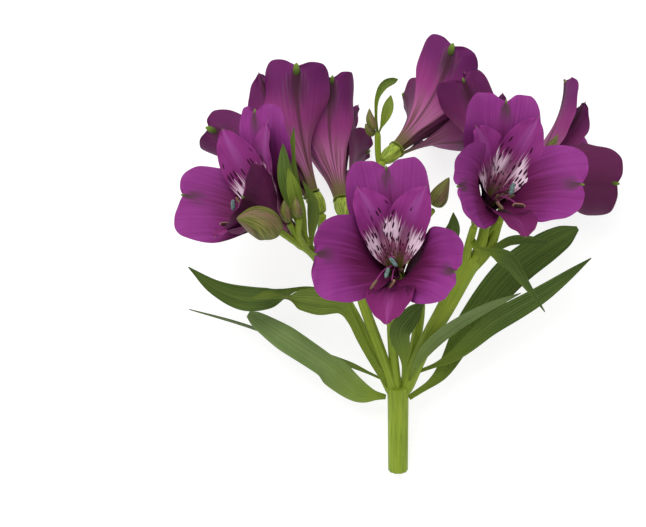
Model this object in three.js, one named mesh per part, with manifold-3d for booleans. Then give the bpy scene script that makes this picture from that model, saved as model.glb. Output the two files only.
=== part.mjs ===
// An alstroemeria stem, cut short and laid on its back on a surface.
// Millimetres, +Z up. The surface is z = 0, the stem points to +Y and the origin is under the
// middle of the whole spray. Each grown piece is one closed solid in a mesh of its own.

import * as THREE from 'three';
import { mergeVertices } from 'three/addons/utils/BufferGeometryUtils.js';
import Module from 'manifold-3d';

const wasm = await Module();
wasm.setup();

// ---------------------------------------------------------------- driving dimensions

const TEPAL_THICK = 0.7;
const LEAF_THICK = 0.7;
const SEAT_GAP = 0.3;
const OUTER_WIDTH = 34;
const INNER_WIDTH = 19;
const OUTER_LENGTH = 50;
const INNER_LENGTH = 48;
const OPEN_CUP = 40;
const OPEN_FLARE = 28;
const INNER_LEAN = 0.82;
const INNER_CUP = 0.6;
const OUTER_WAVE = 1.0;
const INNER_WAVE = 0.5;
const THROAT_OUTER = 3.1;
const THROAT_INNER = 2.4;
const DISC_RADIUS = 4.1;
const DISC_HEIGHT = 1.0;
const CLAW_FOOT = 0.3;
const OVARY_LENGTH = 9;
const OVARY_RADIUS = 3.5;
const PEDICEL_RADIUS = 1.6;
const BUD_STALK_RADIUS = 1.3;
// A bud's ends are this share of its full radius, and its widest place is nearer to its foot.
const BUD_TIP = 0.12;
const BUD_BLUNTNESS = 0.75;
const SMALL_ANTHER = 0.75;
const STAMEN_RING = 0.95;
const STAMEN_FOOT_RADIUS = 1.45;
const FILAMENT_RADIUS = 0.38;
const STAMEN_FOOT = 1;
const STAMEN_BOW = 0.55;
const STAMEN_SPREAD = 0.08;
const STAMEN_SAG = 0.8;
const ANTHER_TIP = 0.2;
const ANTHER_LENGTH = 2.1;
// Rows and columns of the blades' grids. The inner tepals of closed blooms hardly show.
const OUTER_COLUMNS = 4;
const INNER_COLUMNS = 2;
const HIDDEN_ROWS = 5;
const LEAF_COLUMNS = 2;
// The least half angle of a midrib's arc, in radians.
const LEAST_BEND = 0.03;
// A tepal's waist is a bell with its middle at this share of the midrib, and this spread.
const WAIST = 0.45;
const WAIST_SPREAD = 0.17;
// The shares of a tepal's length between which its edges are sheared apart.
const SHEARED = [0.3, 0.8];
// The shares of a tepal's length between which it opens from the cone of the claw to its own curve.
const SPREAD = [0.3, 0.8];
const OPEN_SPREAD = [0.12, 0.62];

// The whole spray is moved by this much, so that the middle of its box is over the origin.
const PLACE = new THREE.Vector3(-1.1, 2, 0);

// Blade outlines as fractions: [half width, reach of the edge, reach of the midrib].
const OUTER_OUTLINE = [
  [0.14, 0.0, 0.0], [0.22, 0.18, 0.18], [0.46, 0.34, 0.34], [0.8, 0.52, 0.5], [1.0, 0.7, 0.65],
  [0.95, 0.88, 0.79], [0.66, 1.0, 0.9], [0.32, 1.02, 0.955], [0.06, 0.99, 0.985],
];
const INNER_OUTLINE = [
  [0.18, 0.0, 0.0], [0.26, 0.19, 0.19], [0.54, 0.37, 0.37], [0.94, 0.56, 0.55],
  [0.96, 0.73, 0.7], [0.6, 0.89, 0.86], [0.26, 0.97, 0.95], [0.05, 1.0, 1.0],
];
// The blades of wide-open blooms, which have broader claws.
const OPEN_OUTER_OUTLINE = [
  [0.18, 0, 0], [0.5, 0.26, 0.26], [0.84, 0.48, 0.47], [1, 0.69, 0.64],
  [0.95, 0.87, 0.79], [0.66, 1, 0.9], [0.32, 1.02, 0.955], [0.06, 0.99, 0.985],
];
const OPEN_INNER_OUTLINE = [
  [0.22, 0, 0], [0.54, 0.19, 0.19], [0.88, 0.37, 0.37], [1, 0.56, 0.55],
  [0.94, 0.73, 0.7], [0.6, 0.89, 0.86], [0.26, 0.97, 0.95], [0.05, 1, 1],
];
// Leaf outlines as fractions: [half width, reach].
const LEAF_OUTLINE = [
  [0.16, 0.0], [0.2, 0.12], [0.55, 0.27], [0.9, 0.43], [1.0, 0.58], [0.84, 0.74], [0.5, 0.88], [0.05, 1.0],
];
const BLUNT_OUTLINE = [
  [0.16, 0.0], [0.2, 0.1], [0.5, 0.25], [0.85, 0.42], [1.0, 0.6], [0.93, 0.77], [0.7, 0.91], [0.14, 1.0],
];
const TWISTED_OUTLINE = [
  [0.22, 0], [0.26, 0.12], [0.3, 0.25], [0.36, 0.36], [0.72, 0.46], [1, 0.56], [0.8, 0.66],
  [0.3, 0.77], [0.34, 0.88], [0.06, 1],
];
const RIPPLED_OUTLINE = [
  [0.16, 0], [0.3, 0.09], [0.6, 0.19], [0.85, 0.31], [1, 0.43], [0.8, 0.51], [0.82, 0.6],
  [0.86, 0.73], [0.7, 0.86], [0.5, 0.95], [0.2, 1],
];
const NECKED_OUTLINE = [
  [0.2, 0], [0.2, 0.15], [0.16, 0.3], [0.16, 0.38], [0.45, 0.5], [0.82, 0.62], [1, 0.74],
  [0.62, 0.88], [0.04, 1],
];
const FOLDED_OUTLINE = [
  [0.3, 0], [0.42, 0.2], [0.46, 0.38], [0.9, 0.5], [1, 0.6], [0.72, 0.76], [0.3, 0.91],
  [0.05, 1],
];
const TOPPED_OUTLINE = [
  [0.3, 0], [0.35, 0.3], [0.55, 0.5], [0.9, 0.68], [1, 0.8], [0.75, 0.92], [0.1, 1],
];

// ---------------------------------------------------------------- colours

function finish(colour, roughness) {
  return new THREE.MeshStandardMaterial({ color: colour, roughness, metalness: 0 });
}

const TEPAL_PURPLE = finish(0x862a7c, 0.55);
const STAMEN_PURPLE = finish(0x7a3c62, 0.6);
const STEM_GREEN = finish(0x83983c, 0.5);
const LEAF_GREEN = finish(0x4f6a2a, 0.5);
const LEAF_BACK_GREEN = finish(0x647a4b, 0.55);
const BUD_GREEN = finish(0x7f8a3a, 0.55);

// ---------------------------------------------------------------- small helpers

const vec = (p) => new THREE.Vector3(...p);
const radians = THREE.MathUtils.degToRad;
const lerp = THREE.MathUtils.lerp;

// 0 below low, 1 above high, and a soft step between them.
function smooth(x, low = 0, high = 1) {
  return THREE.MathUtils.smoothstep(x, low, high);
}

function toSolid(geometry) {
  const bare = geometry.clone();
  for (const name of ['normal', 'uv']) bare.deleteAttribute(name);
  const merged = mergeVertices(bare, 1e-5);
  return new wasm.Manifold(new wasm.Mesh({
    numProp: 3,
    vertProperties: new Float32Array(merged.attributes.position.array),
    triVerts: new Uint32Array(merged.index.array),
  }));
}

function join(solids) {
  return solids.reduce((all, next) => all.add(next));
}

function asMesh(name, solid, material) {
  const { vertProperties, triVerts } = solid.getMesh();
  const geometry = new THREE.BufferGeometry();
  geometry.setAttribute('position', new THREE.BufferAttribute(vertProperties, 3));
  geometry.setIndex(new THREE.BufferAttribute(triVerts, 1));
  const flat = geometry.toNonIndexed();
  flat.computeVertexNormals();
  const mesh = new THREE.Mesh(flat, material);
  mesh.name = name;
  return mesh;
}

// A closed grid of points: rows of rings, the first and last ring closed with a fan.
function ringSolid(rings) {
  const sides = rings[0].length;
  const points = rings.flat();
  const last = (rings.length - 1) * sides;
  const first = points.push(centre(rings[0])) - 1;
  const end = points.push(centre(rings[rings.length - 1])) - 1;
  const index = [];
  for (let i = 0; i < rings.length - 1; i++) {
    for (let j = 0; j < sides; j++) {
      const a = i * sides + j;
      const b = i * sides + ((j + 1) % sides);
      index.push(a, b, b + sides, a, b + sides, a + sides);
    }
  }
  for (let j = 0; j < sides; j++) {
    const k = (j + 1) % sides;
    index.push(first, k, j, end, last + j, last + k);
  }
  return toSolid(indexed(points, index));
}

function centre(ring) {
  return ring.reduce((sum, p) => sum.add(p), new THREE.Vector3()).divideScalar(ring.length);
}

function indexed(points, index) {
  const geometry = new THREE.BufferGeometry().setFromPoints(points);
  geometry.setIndex(index);
  return geometry;
}

// A blade: the surface at(u, v), with u from 0 to 1 along it and v from -1 to 1 across it, given
// a thickness along its normals. Both faces are split into the same triangles.
function bladeSolid(at, rows, columns, thickness) {
  const step = 1e-3;
  const faces = [[], []];
  for (let i = 0; i <= rows; i++) {
    for (let j = 0; j <= columns; j++) {
      const u = i / rows;
      const v = (2 * j) / columns - 1;
      const here = at(u, v);
      const along = at(Math.min(u + step, 1), v).sub(at(Math.max(u - step, 0), v));
      const across = at(u, v + step).sub(at(u, v - step));
      const normal = across.cross(along).normalize().multiplyScalar(thickness / 2);
      faces[0].push(here.clone().add(normal));
      faces[1].push(here.clone().sub(normal));
    }
  }
  const width = columns + 1;
  const count = faces[0].length;
  const index = [];
  for (let i = 0; i < rows; i++) {
    for (let j = 0; j < columns; j++) {
      const a = i * width + j;
      const [b, c, d] = [a + 1, a + width, a + width + 1];
      index.push(a, b, d, a, d, c);
      index.push(a + count, d + count, b + count, a + count, c + count, d + count);
    }
  }
  const border = [];
  for (let j = 0; j < columns; j++) border.push(j);
  for (let i = 0; i < rows; i++) border.push(i * width + columns);
  for (let j = columns; j > 0; j--) border.push(rows * width + j);
  for (let i = rows; i > 0; i--) border.push(i * width);
  border.forEach((a, k) => {
    const b = border[(k + 1) % border.length];
    index.push(b, a, a + count, b, a + count, b + count);
  });
  return toSolid(indexed([...faces[0], ...faces[1]], index));
}

const UP = new THREE.Vector3(0, 0, 1);

// Direction frames along a curve: the width direction stays square to the curve and to upright.
function frameAt(curve, t, roll = 0, upright = UP) {
  const point = curve.getPoint(t);
  const tangent = curve.getTangent(t);
  const side = upright.clone().cross(tangent);
  if (side.length() < 1e-3) side.set(1, 0, 0);
  side.normalize().applyAxisAngle(tangent, radians(roll));
  const up = tangent.clone().cross(side).normalize();
  return { point, tangent, side, up };
}

// A ridged stalk along a curve. radiusAt(t) gives [half width, half depth] at t.
function stalk(points, radiusAt, { sides = 8, steps = 6, ridge = 0.06, grow = 0, upright = UP } = {}) {
  const curve = new THREE.CatmullRomCurve3(points.map(vec), false, 'centripetal');
  const rings = [];
  for (let i = 0; i <= steps; i++) {
    const t = i / steps;
    const { point, side, up } = frameAt(curve, t, 0, upright);
    const [wide, deep] = radiusAt(t);
    const ring = [];
    for (let j = 0; j < sides; j++) {
      const angle = (j / sides) * 2 * Math.PI;
      const swell = 1 + (j % 2 ? -ridge : ridge);
      ring.push(point.clone()
        .addScaledVector(side, Math.cos(angle) * (wide * swell + grow))
        .addScaledVector(up, Math.sin(angle) * (deep * swell + grow)));
    }
    rings.push(ring);
  }
  return ringSolid(rings);
}

// ---------------------------------------------------------------- blooms

// A value between the rows of an outline, at u from 0 to 1 over its length.
function outlineAt(outline, u, column) {
  const spot = THREE.MathUtils.clamp(u, 0, 1) * (outline.length - 1);
  const k = Math.min(Math.floor(spot), outline.length - 2);
  return lerp(outline[k][column], outline[k + 1][column], spot - k);
}

// One tepal of a bloom. Its midrib starts on a ring round the base and leans away from the
// axis, more and more towards its tip, so that the chord to the tip has the asked direction.
// Across, it is an arc that hugs the axis at the claw, as a strip of a cone does, and has a
// radius of its own on the blade. It may be wider on one side, narrower at its waist, more deeply
// notched, sheared along its edges, and bowed sideways.
function tepalSurface({ base, axis, chord, width, flare, throat, cup, wave, roll, outline, spread,
  skew, waist, notch, shear, bow }) {
  const lean = chord.angleTo(axis);
  const outward = chord.clone().addScaledVector(axis, -chord.dot(axis)).normalize();
  const sideways = axis.clone().cross(outward).normalize();
  const bend = THREE.MathUtils.clamp(radians(flare), LEAST_BEND, Math.max(lean, 2 * LEAST_BEND));
  const length = (chord.length() * bend) / Math.sin(bend);
  const midrib = (y) => {
    const turn = (t) => lean + bend * (2 * t / length - 1);
    const rate = (2 * bend) / length;
    const out = (Math.cos(turn(0)) - Math.cos(turn(y))) / rate;
    const forth = (Math.sin(turn(y)) - Math.sin(turn(0))) / rate;
    return [out, forth, turn(y)];
  };
  return (u, v) => {
    const [share, edge, rib] = [0, 1, 2].map((column) => outlineAt(outline, u, column));
    const half = (width / 2) * share * (1 - waist * Math.exp(-(((rib - WAIST) / WAIST_SPREAD) ** 2)));
    const y = length * (rib + notch * (edge - rib) * v * v + shear * v * share * smooth(rib, ...SHEARED));
    const [out, forth, angle] = midrib(y);
    const open = smooth(y / length, ...spread);
    const hug = Math.max(Math.cos(angle), 0.05) / (throat + out);
    const curve = lerp(hug, 1 / cup, open);
    const x = half * (v + skew * open * v * v);
    const rise = (1 - Math.cos(curve * x)) / curve
      + wave * v * v * Math.sin(5.2 * u + 2.4 * v + chord.x) * open;
    const lateral = Math.sin(curve * x) / curve;
    const tilt = radians(roll) * open;
    const across = lateral * Math.cos(tilt) - rise * Math.sin(tilt)
      + bow * Math.sin(Math.PI * THREE.MathUtils.clamp(y / length, 0, 1));
    const inward = lateral * Math.sin(tilt) + rise * Math.cos(tilt);
    return base.clone()
      .addScaledVector(outward, throat + out - inward * Math.cos(angle))
      .addScaledVector(axis, CLAW_FOOT + forth + inward * Math.sin(angle))
      .addScaledVector(sideways, across);
  };
}

// The six tepals go round the axis in steps of 60 degrees: outer, inner, outer, and so on.
function bloomTepals({ base, axis, first, tepals, opening, wide = 1, cup = OPEN_CUP,
  flare = OPEN_FLARE, open = false }) {
  const start = vec(base);
  const along = vec(axis).normalize();
  const zero = vec(first).addScaledVector(along, -vec(first).dot(along)).normalize();
  const solids = [baseDisc(start, along)];
  for (let i = 0; i < 6; i++) {
    const outer = i % 2 === 0;
    const own = tepals[i] ?? {};
    const length = outer ? OUTER_LENGTH : INNER_LENGTH;
    const lean = radians(own.lean ?? opening * (outer ? 1 : INNER_LEAN));
    const outward = zero.clone().applyAxisAngle(along, radians(60 * i));
    const chord = own.to ? vec(own.to)
      : along.clone().multiplyScalar(Math.cos(lean) * length)
        .addScaledVector(outward, Math.sin(lean) * length);
    const isOpen = own.open ?? open;
    const closedOutline = outer ? OUTER_OUTLINE : INNER_OUTLINE;
    const openOutline = outer ? OPEN_OUTER_OUTLINE : OPEN_INNER_OUTLINE;
    const outline = isOpen ? openOutline : closedOutline;
    const surface = tepalSurface({
      base: start,
      axis: along,
      chord,
      width: (outer ? OUTER_WIDTH : INNER_WIDTH) * wide * (own.wide ?? 1),
      flare: own.flare ?? flare,
      throat: outer ? THROAT_OUTER : THROAT_INNER,
      cup: outer ? cup : cup * INNER_CUP,
      wave: outer ? OUTER_WAVE : INNER_WAVE,
      roll: own.roll ?? 0,
      outline,
      spread: isOpen ? OPEN_SPREAD : SPREAD,
      skew: own.skew ?? 0,
      waist: own.waist ?? 0,
      notch: own.notch ?? 1,
      shear: own.shear ?? 0,
      bow: own.bow ?? 0,
    });
    const rows = isOpen || outer ? outline.length - 1 : HIDDEN_ROWS;
    solids.push(bladeSolid(surface, rows, outer ? OUTER_COLUMNS : INNER_COLUMNS, TEPAL_THICK));
  }
  return join(solids);
}

// Turns a shape that stands on z = 0 so that it stands on the base, along the axis.
function standing(geometry, base, axis) {
  const turn = new THREE.Quaternion().setFromUnitVectors(new THREE.Vector3(0, 0, 1), axis);
  return geometry.applyQuaternion(turn).translate(base.x, base.y, base.z);
}

// The small disc on the ovary that the six claws grow from.
function baseDisc(base, axis) {
  const disc = new THREE.CylinderGeometry(DISC_RADIUS, DISC_RADIUS, DISC_HEIGHT, 6);
  disc.rotateX(Math.PI / 2).translate(0, 0, DISC_HEIGHT / 2);
  return toSolid(standing(disc, base, axis));
}

// The style stands in the middle of six filaments. All start together on a small foot, run along
// the axis and sag to one side. Each has its own part of the full length and of the full lean.
const STAMENS = [
  [1.0, 0.6], [0.82, 1.0], [0.95, 0.85], [0.76, 0.8], [0.9, 0.7], [0.84, 0.9], [0.98, 0.95],
];

// A filament that bows from its foot, along the axis, to a ripe anther with a place of its own.
function placedStamen(from, along, [place, direction], base, anther, upright) {
  const end = base.clone().add(vec(place));
  const bow = from.clone().addScaledVector(along, STAMEN_BOW * from.distanceTo(end));
  const arc = new THREE.QuadraticBezierCurve3(from, bow, end);
  const rod = [0, 0.5, 1].map((t) => arc.getPoint(t).toArray());
  const ahead = vec(direction).normalize().multiplyScalar(ANTHER_LENGTH * anther);
  const tip = [-1, 1].map((t) => end.clone().addScaledVector(ahead, t).toArray());
  const thick = [anther, anther];
  const slim = [FILAMENT_RADIUS, FILAMENT_RADIUS];
  return [
    stalk(rod, () => slim, { sides: 3, steps: 2, ridge: 0, upright }),
    stalk(tip, () => thick, { sides: 4, steps: 1, ridge: 0, upright }),
  ];
}

function bloomStamens({ base, axis, first, stamenLean, stamenLength, anther = SMALL_ANTHER, anthers }) {
  const start = vec(base);
  const along = vec(axis).normalize();
  const down = vec(first).addScaledVector(along, -vec(first).dot(along)).normalize().negate();
  const upright = along.clone().cross(down);
  const height = DISC_HEIGHT + SEAT_GAP + STAMEN_FOOT / 2;
  const foot = new THREE.CylinderGeometry(STAMEN_FOOT_RADIUS, STAMEN_FOOT_RADIUS, STAMEN_FOOT, 5);
  foot.rotateX(Math.PI / 2).translate(0, 0, height);
  const solids = [toSolid(standing(foot, start, along))];
  STAMENS.forEach(([part, lean], i) => {
    const reach = stamenLength * part;
    const spread = reach * Math.tan(radians(stamenLean * lean));
    const outward = down.clone().applyAxisAngle(along, radians(60 * i));
    const ring = i === 0 ? 0 : STAMEN_RING;
    if (i > 0 && anthers) {
      const from = start.clone().addScaledVector(along, height).addScaledVector(outward, ring);
      solids.push(...placedStamen(from, along, anthers[i - 1], start, anther, upright));
      return;
    }
    const at = (t) => start.clone()
      .addScaledVector(along, height + t * reach)
      .addScaledVector(outward, ring + (i === 0 ? 0 : STAMEN_SPREAD * t * reach))
      .addScaledVector(down, STAMEN_SAG * t * t * spread);
    const rod = [0, 0.5, 0.93, 1].map((t) => at(t).toArray());
    const radius = [FILAMENT_RADIUS, FILAMENT_RADIUS, anther, ANTHER_TIP];
    const steps = rod.length - 1;
    const size = (t) => Array(2).fill(radius[Math.round(steps * t)]);
    solids.push(stalk(rod, size, { sides: 3, steps, ridge: 0, upright }));
  });
  return join(solids);
}

// ---------------------------------------------------------------- leaves and buds

// A leaf along a curve: width profile, a fold along the midrib, a roll that changes from foot
// to tip, and waves on its edges.
function leafSolid({ path, width, fold, roll, wave, rows = 7, outline = LEAF_OUTLINE }) {
  const curve = new THREE.CatmullRomCurve3(path.map(vec), false, 'centripetal');
  const surface = (u, v) => {
    const reach = outlineAt(outline, u, 1);
    const half = (width / 2) * outlineAt(outline, u, 0);
    const spot = reach * (roll.length - 1);
    const k = Math.min(Math.floor(spot), roll.length - 2);
    const { point, side, up } = frameAt(curve, reach, lerp(roll[k], roll[k + 1], smooth(spot - k)));
    const lift = Math.abs(v) * half * Math.sin(radians(fold))
      + wave * v * v * Math.sin(9 * u + 1.6 * v + path[0][1]) * (half / (width / 2));
    return point.addScaledVector(side, v * half * Math.cos(radians(fold))).addScaledVector(up, lift);
  };
  return bladeSolid(surface, rows, LEAF_COLUMNS, LEAF_THICK);
}

// A bud: six soft ribs round a drop that swells and then closes to a point.
function budSolid({ path, radius, sides = 6 }) {
  const swell = (t) => radius * Math.max(BUD_TIP, Math.sin(Math.PI * (0.12 + 0.85 * t) ** BUD_BLUNTNESS));
  return stalk(path, (t) => [swell(t), swell(t)], { sides, steps: 5, ridge: 0.07 });
}

// ---------------------------------------------------------------- the stem and its rays

// Each stalk is a route with half widths and half depths at its two ends.
const STEM_ROUTE = [[2.1, -94.6, 3.45], [2.0, -81, 9], [1.9, -67.7, 14.4], [1.7, -57.2, 19]];
const STALKS = [
  { route: STEM_ROUTE, foot: [4.1, 4.1], top: [4.4, 4.2], sides: 10, steps: 2 },
  { route: [[0.3, -62, 16], [-9.5, -41.6, 26], [-21.1, -20.1, 34], [-32.6, -4, 42]],
    foot: [2.3, 2.1], top: [2.2, 1.9] },
  { route: [[0.9, -62, 17], [-6.1, -41.5, 28], [-13.1, -22.2, 36], [-18.2, -4, 42],
      [-19.9, 5.3, 45]],
    foot: [2.3, 2.1], top: [1.8, 1.7] },
  { route: [[1.7, -62, 17], [-0.6, -41.5, 27], [-1.2, -27.7, 38], [0.7, -22, 46]],
    foot: [2.1, 2], top: [1.7, 1.7] },
  { route: [[3.1, -62, 16], [9, -39.5, 21], [11, -20.2, 25], [7.4, -4, 31], [3.9, 7.5, 36]],
    foot: [2.2, 2], top: [1.9, 1.8] },
  { route: [[3.8, -62, 17], [13.1, -39.4, 27], [22.2, -22.2, 36], [28.4, -9.5, 42],
      [32.4, -1.5, 45.3]],
    foot: [2.6, 2.1], top: [4.6, 2.6] },
];

// A pedicel runs from its ray to the ovary under a bloom.
const PEDICELS = {
  a: { route: [[-32.6, -4, 42], [-35.3, 1.5, 43.5]] },
  b1: { route: [[-32.6, -4, 42], [-31.5, 6, 46]] },
  b2: { route: [[-19.9, 5.3, 45], [-21, 10.5, 46.8]] },
  c: { route: [[0.7, -22, 46], [1.4, -19.5, 50]] },
  d: { route: [[3.9, 7.5, 36], [-3.2, 22.2, 44], [-6.8, 33, 49.5]] },
  e: { route: [[29.5, -8, 43], [30.6, 1.5, 47.5]], foot: 1.9 },
  f: { route: [[30.8, -8, 42], [39.4, 1.5, 43.5], [43.2, 11.6, 44]], foot: 2.8 },
  i: { route: [[30, -8, 42.5], [35.6, 1.5, 45.5], [37.9, 11.6, 48]], foot: 2.8 },
};

// ---------------------------------------------------------------- the blooms

// A bloom sits on its base, faces along its axis, and has its tepal 0 on the side named first.
// A tepal that leans its own way has the chord from the base to its tip. Ripe anthers have their
// place from the base, and the way they point.
const BLOOMS = {
  a: {
    base: [-41.8, 7, 50], axis: [-0.64, 0.6, 0.48], first: [0.2, 1, 0.3], open: true,
    stamenLean: 12, stamenLength: 26, anther: 1.1,
    anthers: [
      [[-29, 4.7, 22], [1, 0, 0]], [[-13.6, 9, 13.6], [-1, 0.5, 0.6]],
      [[-14, 12, 14], [-0.5, 1, 0.3]], [[-25.8, 12.5, 24], [0, 1, 0.1]],
      [[-23.6, 14, 15.2], [-0.6, 1, 0]], [[-12.5, 8, 10.3], [-0.6, 0.4, 0.5]],
    ],
    tepals: {
      0: { to: [-18.3, 50.5, 8.5], wide: 0.76, roll: 20, skew: -0.4 },
      1: { to: [-30.6, 42.5, 9.8], roll: 12 },
      2: { to: [-46.1, 17.9, 2], wide: 1.02, roll: -25, skew: 0.2 },
      3: { to: [-32.1, 1.2, 27], wide: 0.9 },
      4: { to: [-22.5, 16.9, 35.3], roll: 24, wide: 0.92 },
      5: { to: [-13, 45.6, 18.3], wide: 1.05 },
    },
  },
  b1: {
    base: [-35.1, 24.3, 44], axis: [-0.5, 0.83, -0.25], first: [0.5, 0.6, 0.6], opening: 30,
    wide: 0.88, cup: 15, flare: 15, stamenLean: 3, stamenLength: 18,
    tepals: {
      0: { to: [-8, 53, 6], wide: 1.18, roll: -50 }, 1: { lean: 14 },
      2: { to: [-28.5, 25.5, -41] }, 3: { lean: 18 },
      4: { to: [-41.8, 29.8, -5.9], roll: 45, wide: 1.05, skew: -0.3 },
      5: { to: [-23.2, 50, -4], wide: 1.3 },
    },
  },
  b2: {
    base: [-22.3, 21.8, 38], axis: [-0.1, 0.78, -0.62], first: [0, 0.6, 0.8], opening: 34,
    wide: 0.88, cup: 14, flare: 15, stamenLean: 3, stamenLength: 17,
    tepals: {
      0: { to: [-4.2, 51, -3], roll: 10, wide: 1.08, waist: 0.25, bow: -3 },
      1: { lean: 13, wide: 0.8 },
      2: { to: [9.4, 23.2, -30.7], roll: -30, wide: 0.9, flare: 25 },
      3: { lean: 13, wide: 0.8 }, 4: { to: [-19.5, 31, -22], wide: 1.2, open: true },
      5: { to: [-10, 45, -13], wide: 0.75 },
    },
  },
  c: {
    base: [0.4, -10.7, 62], axis: [-0.1, 0.57, 0.815], first: [0, 1, 0], open: true,
    stamenLean: 30, stamenLength: 24, anther: 1.2,
    anthers: [
      [[1.5, 3.2, 14.3], [0.2, 0.3, 1]], [[-2, 6.7, 22], [0.62, -0.78, 0.1]],
      [[-0.6, 7.6, 12.4], [-0.3, 0.6, 1]], [[-4.6, 2.2, 23], [0.3, 0.9, -0.5]],
      [[-10.2, -2.5, 29], [0.57, 0.82, 0]], [[-2.8, -2.3, 26.7], [0.5, 0.7, 0.6]],
    ],
    tepals: {
      0: { to: [-4.7, 43.9, 11.8], wide: 1.06, notch: 1.4 },
      1: { to: [-15.2, 35.5, 20.3], roll: 10, wide: 1.06 },
      2: { to: [-31.8, 10.5, 30.7], wide: 1.14, roll: -30, skew: 0.12, shear: 0.09 },
      3: { to: [-4.9, -16.4, 39], wide: 1.08 },
      4: { to: [21, 3.5, 33.8], roll: 28 }, 5: { to: [9.7, 35.8, 24.9], roll: 10, wide: 1 },
    },
  },
  d: {
    base: [0.3, 43.3, 44], axis: [0.6, 0.525, -0.6], first: [0, 0.6, 0.8], opening: 32, wide: 0.9,
    cup: 16, flare: 15, stamenLean: 3, stamenLength: 17,
    tepals: {
      0: { to: [23.5, 42, 2], roll: 18, waist: 0.22, bow: 2.5 }, 1: { lean: 19 },
      2: { to: [38, 5.5, -29], roll: -20, wide: 1.2 }, 3: { lean: 15 },
      4: { to: [6.1, 24.4, -32], roll: 20, wide: 0.8, flare: 25 },
      5: { lean: 20, wide: 0.8 },
    },
  },
  e: {
    base: [36.3, 16.9, 60], axis: [0.346, 0.589, 0.73], first: [-0.3, 1, 0], open: true,
    stamenLean: 25, stamenLength: 26, anther: 1.25,
    anthers: [
      [[10.5, 5.7, 16.4], [0.6, 0.4, 0.7]], [[9.4, 8.8, 14.7], [0.3, 0.6, 0.8]],
      [[10.7, 9, 24], [0.25, 1, 0.1]], [[13.4, 2.2, 26], [1, -0.1, 0]],
      [[5, 5.6, 13.5], [0.2, 0.6, 0.8]], [[5.6, 2.2, 25], [0.5, -0.6, 0.6]],
    ],
    tepals: {
      0: { to: [9.4, 43.5, 15.7], wide: 1.02, roll: -10, notch: 1.4, skew: 0.12 },
      1: { to: [-2, 33, 27.6], wide: 1.15, roll: -10 },
      2: { to: [-10.5, 10.3, 44.1], wide: 1.08, roll: -38 },
      3: { to: [15, -8.6, 38.3] },
      4: { to: [37.4, 11.9, 24.4], roll: 28 }, 5: { to: [21, 36.9, 17.6], roll: 8 },
    },
  },
  f: {
    base: [53.7, 28.2, 40], axis: [0.72, 0.45, -0.53], first: [-0.3, 0.9, 0.3], opening: 32,
    wide: 0.88, cup: 18, flare: 16, stamenLean: 3, stamenLength: 16,
    tepals: {
      0: { to: [20.5, 42.7, -13], wide: 0.75, roll: -30, bow: 2.5 },
      1: { to: [28.5, 33.7, -17] },
      2: { to: [39.6, 3, -11.2], wide: 1.3, roll: -40, skew: 0.15 },
      3: { to: [18, 8, -41], wide: 0.85 }, 4: { to: [34.5, 17, -31] },
      5: { lean: 13, wide: 0.85 },
    },
  },
  i: {
    base: [40.6, 28, 48], axis: [0.08, 0.98, -0.19], first: [-0.6, 0, 0.4], opening: 22, wide: 0.7,
    cup: 16, flare: 14, stamenLean: 2, stamenLength: 14,
    tepals: {
      0: { to: [-11, 43.9, 10.5], roll: 35, wide: 1.1, skew: -0.2 },
      1: { to: [-9.6, 46.9, 1.6], wide: 0.9 },
      2: { to: [4, 34, 13], wide: 0.8 }, 3: { to: [4, 38, -2], wide: 0.8 },
      4: { to: [2, 33, -16], wide: 0.8 }, 5: { to: [-4, 49.5, -6.9], wide: 0.6 },
    },
  },
};

// ---------------------------------------------------------------- leaves, bracts and buds

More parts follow.
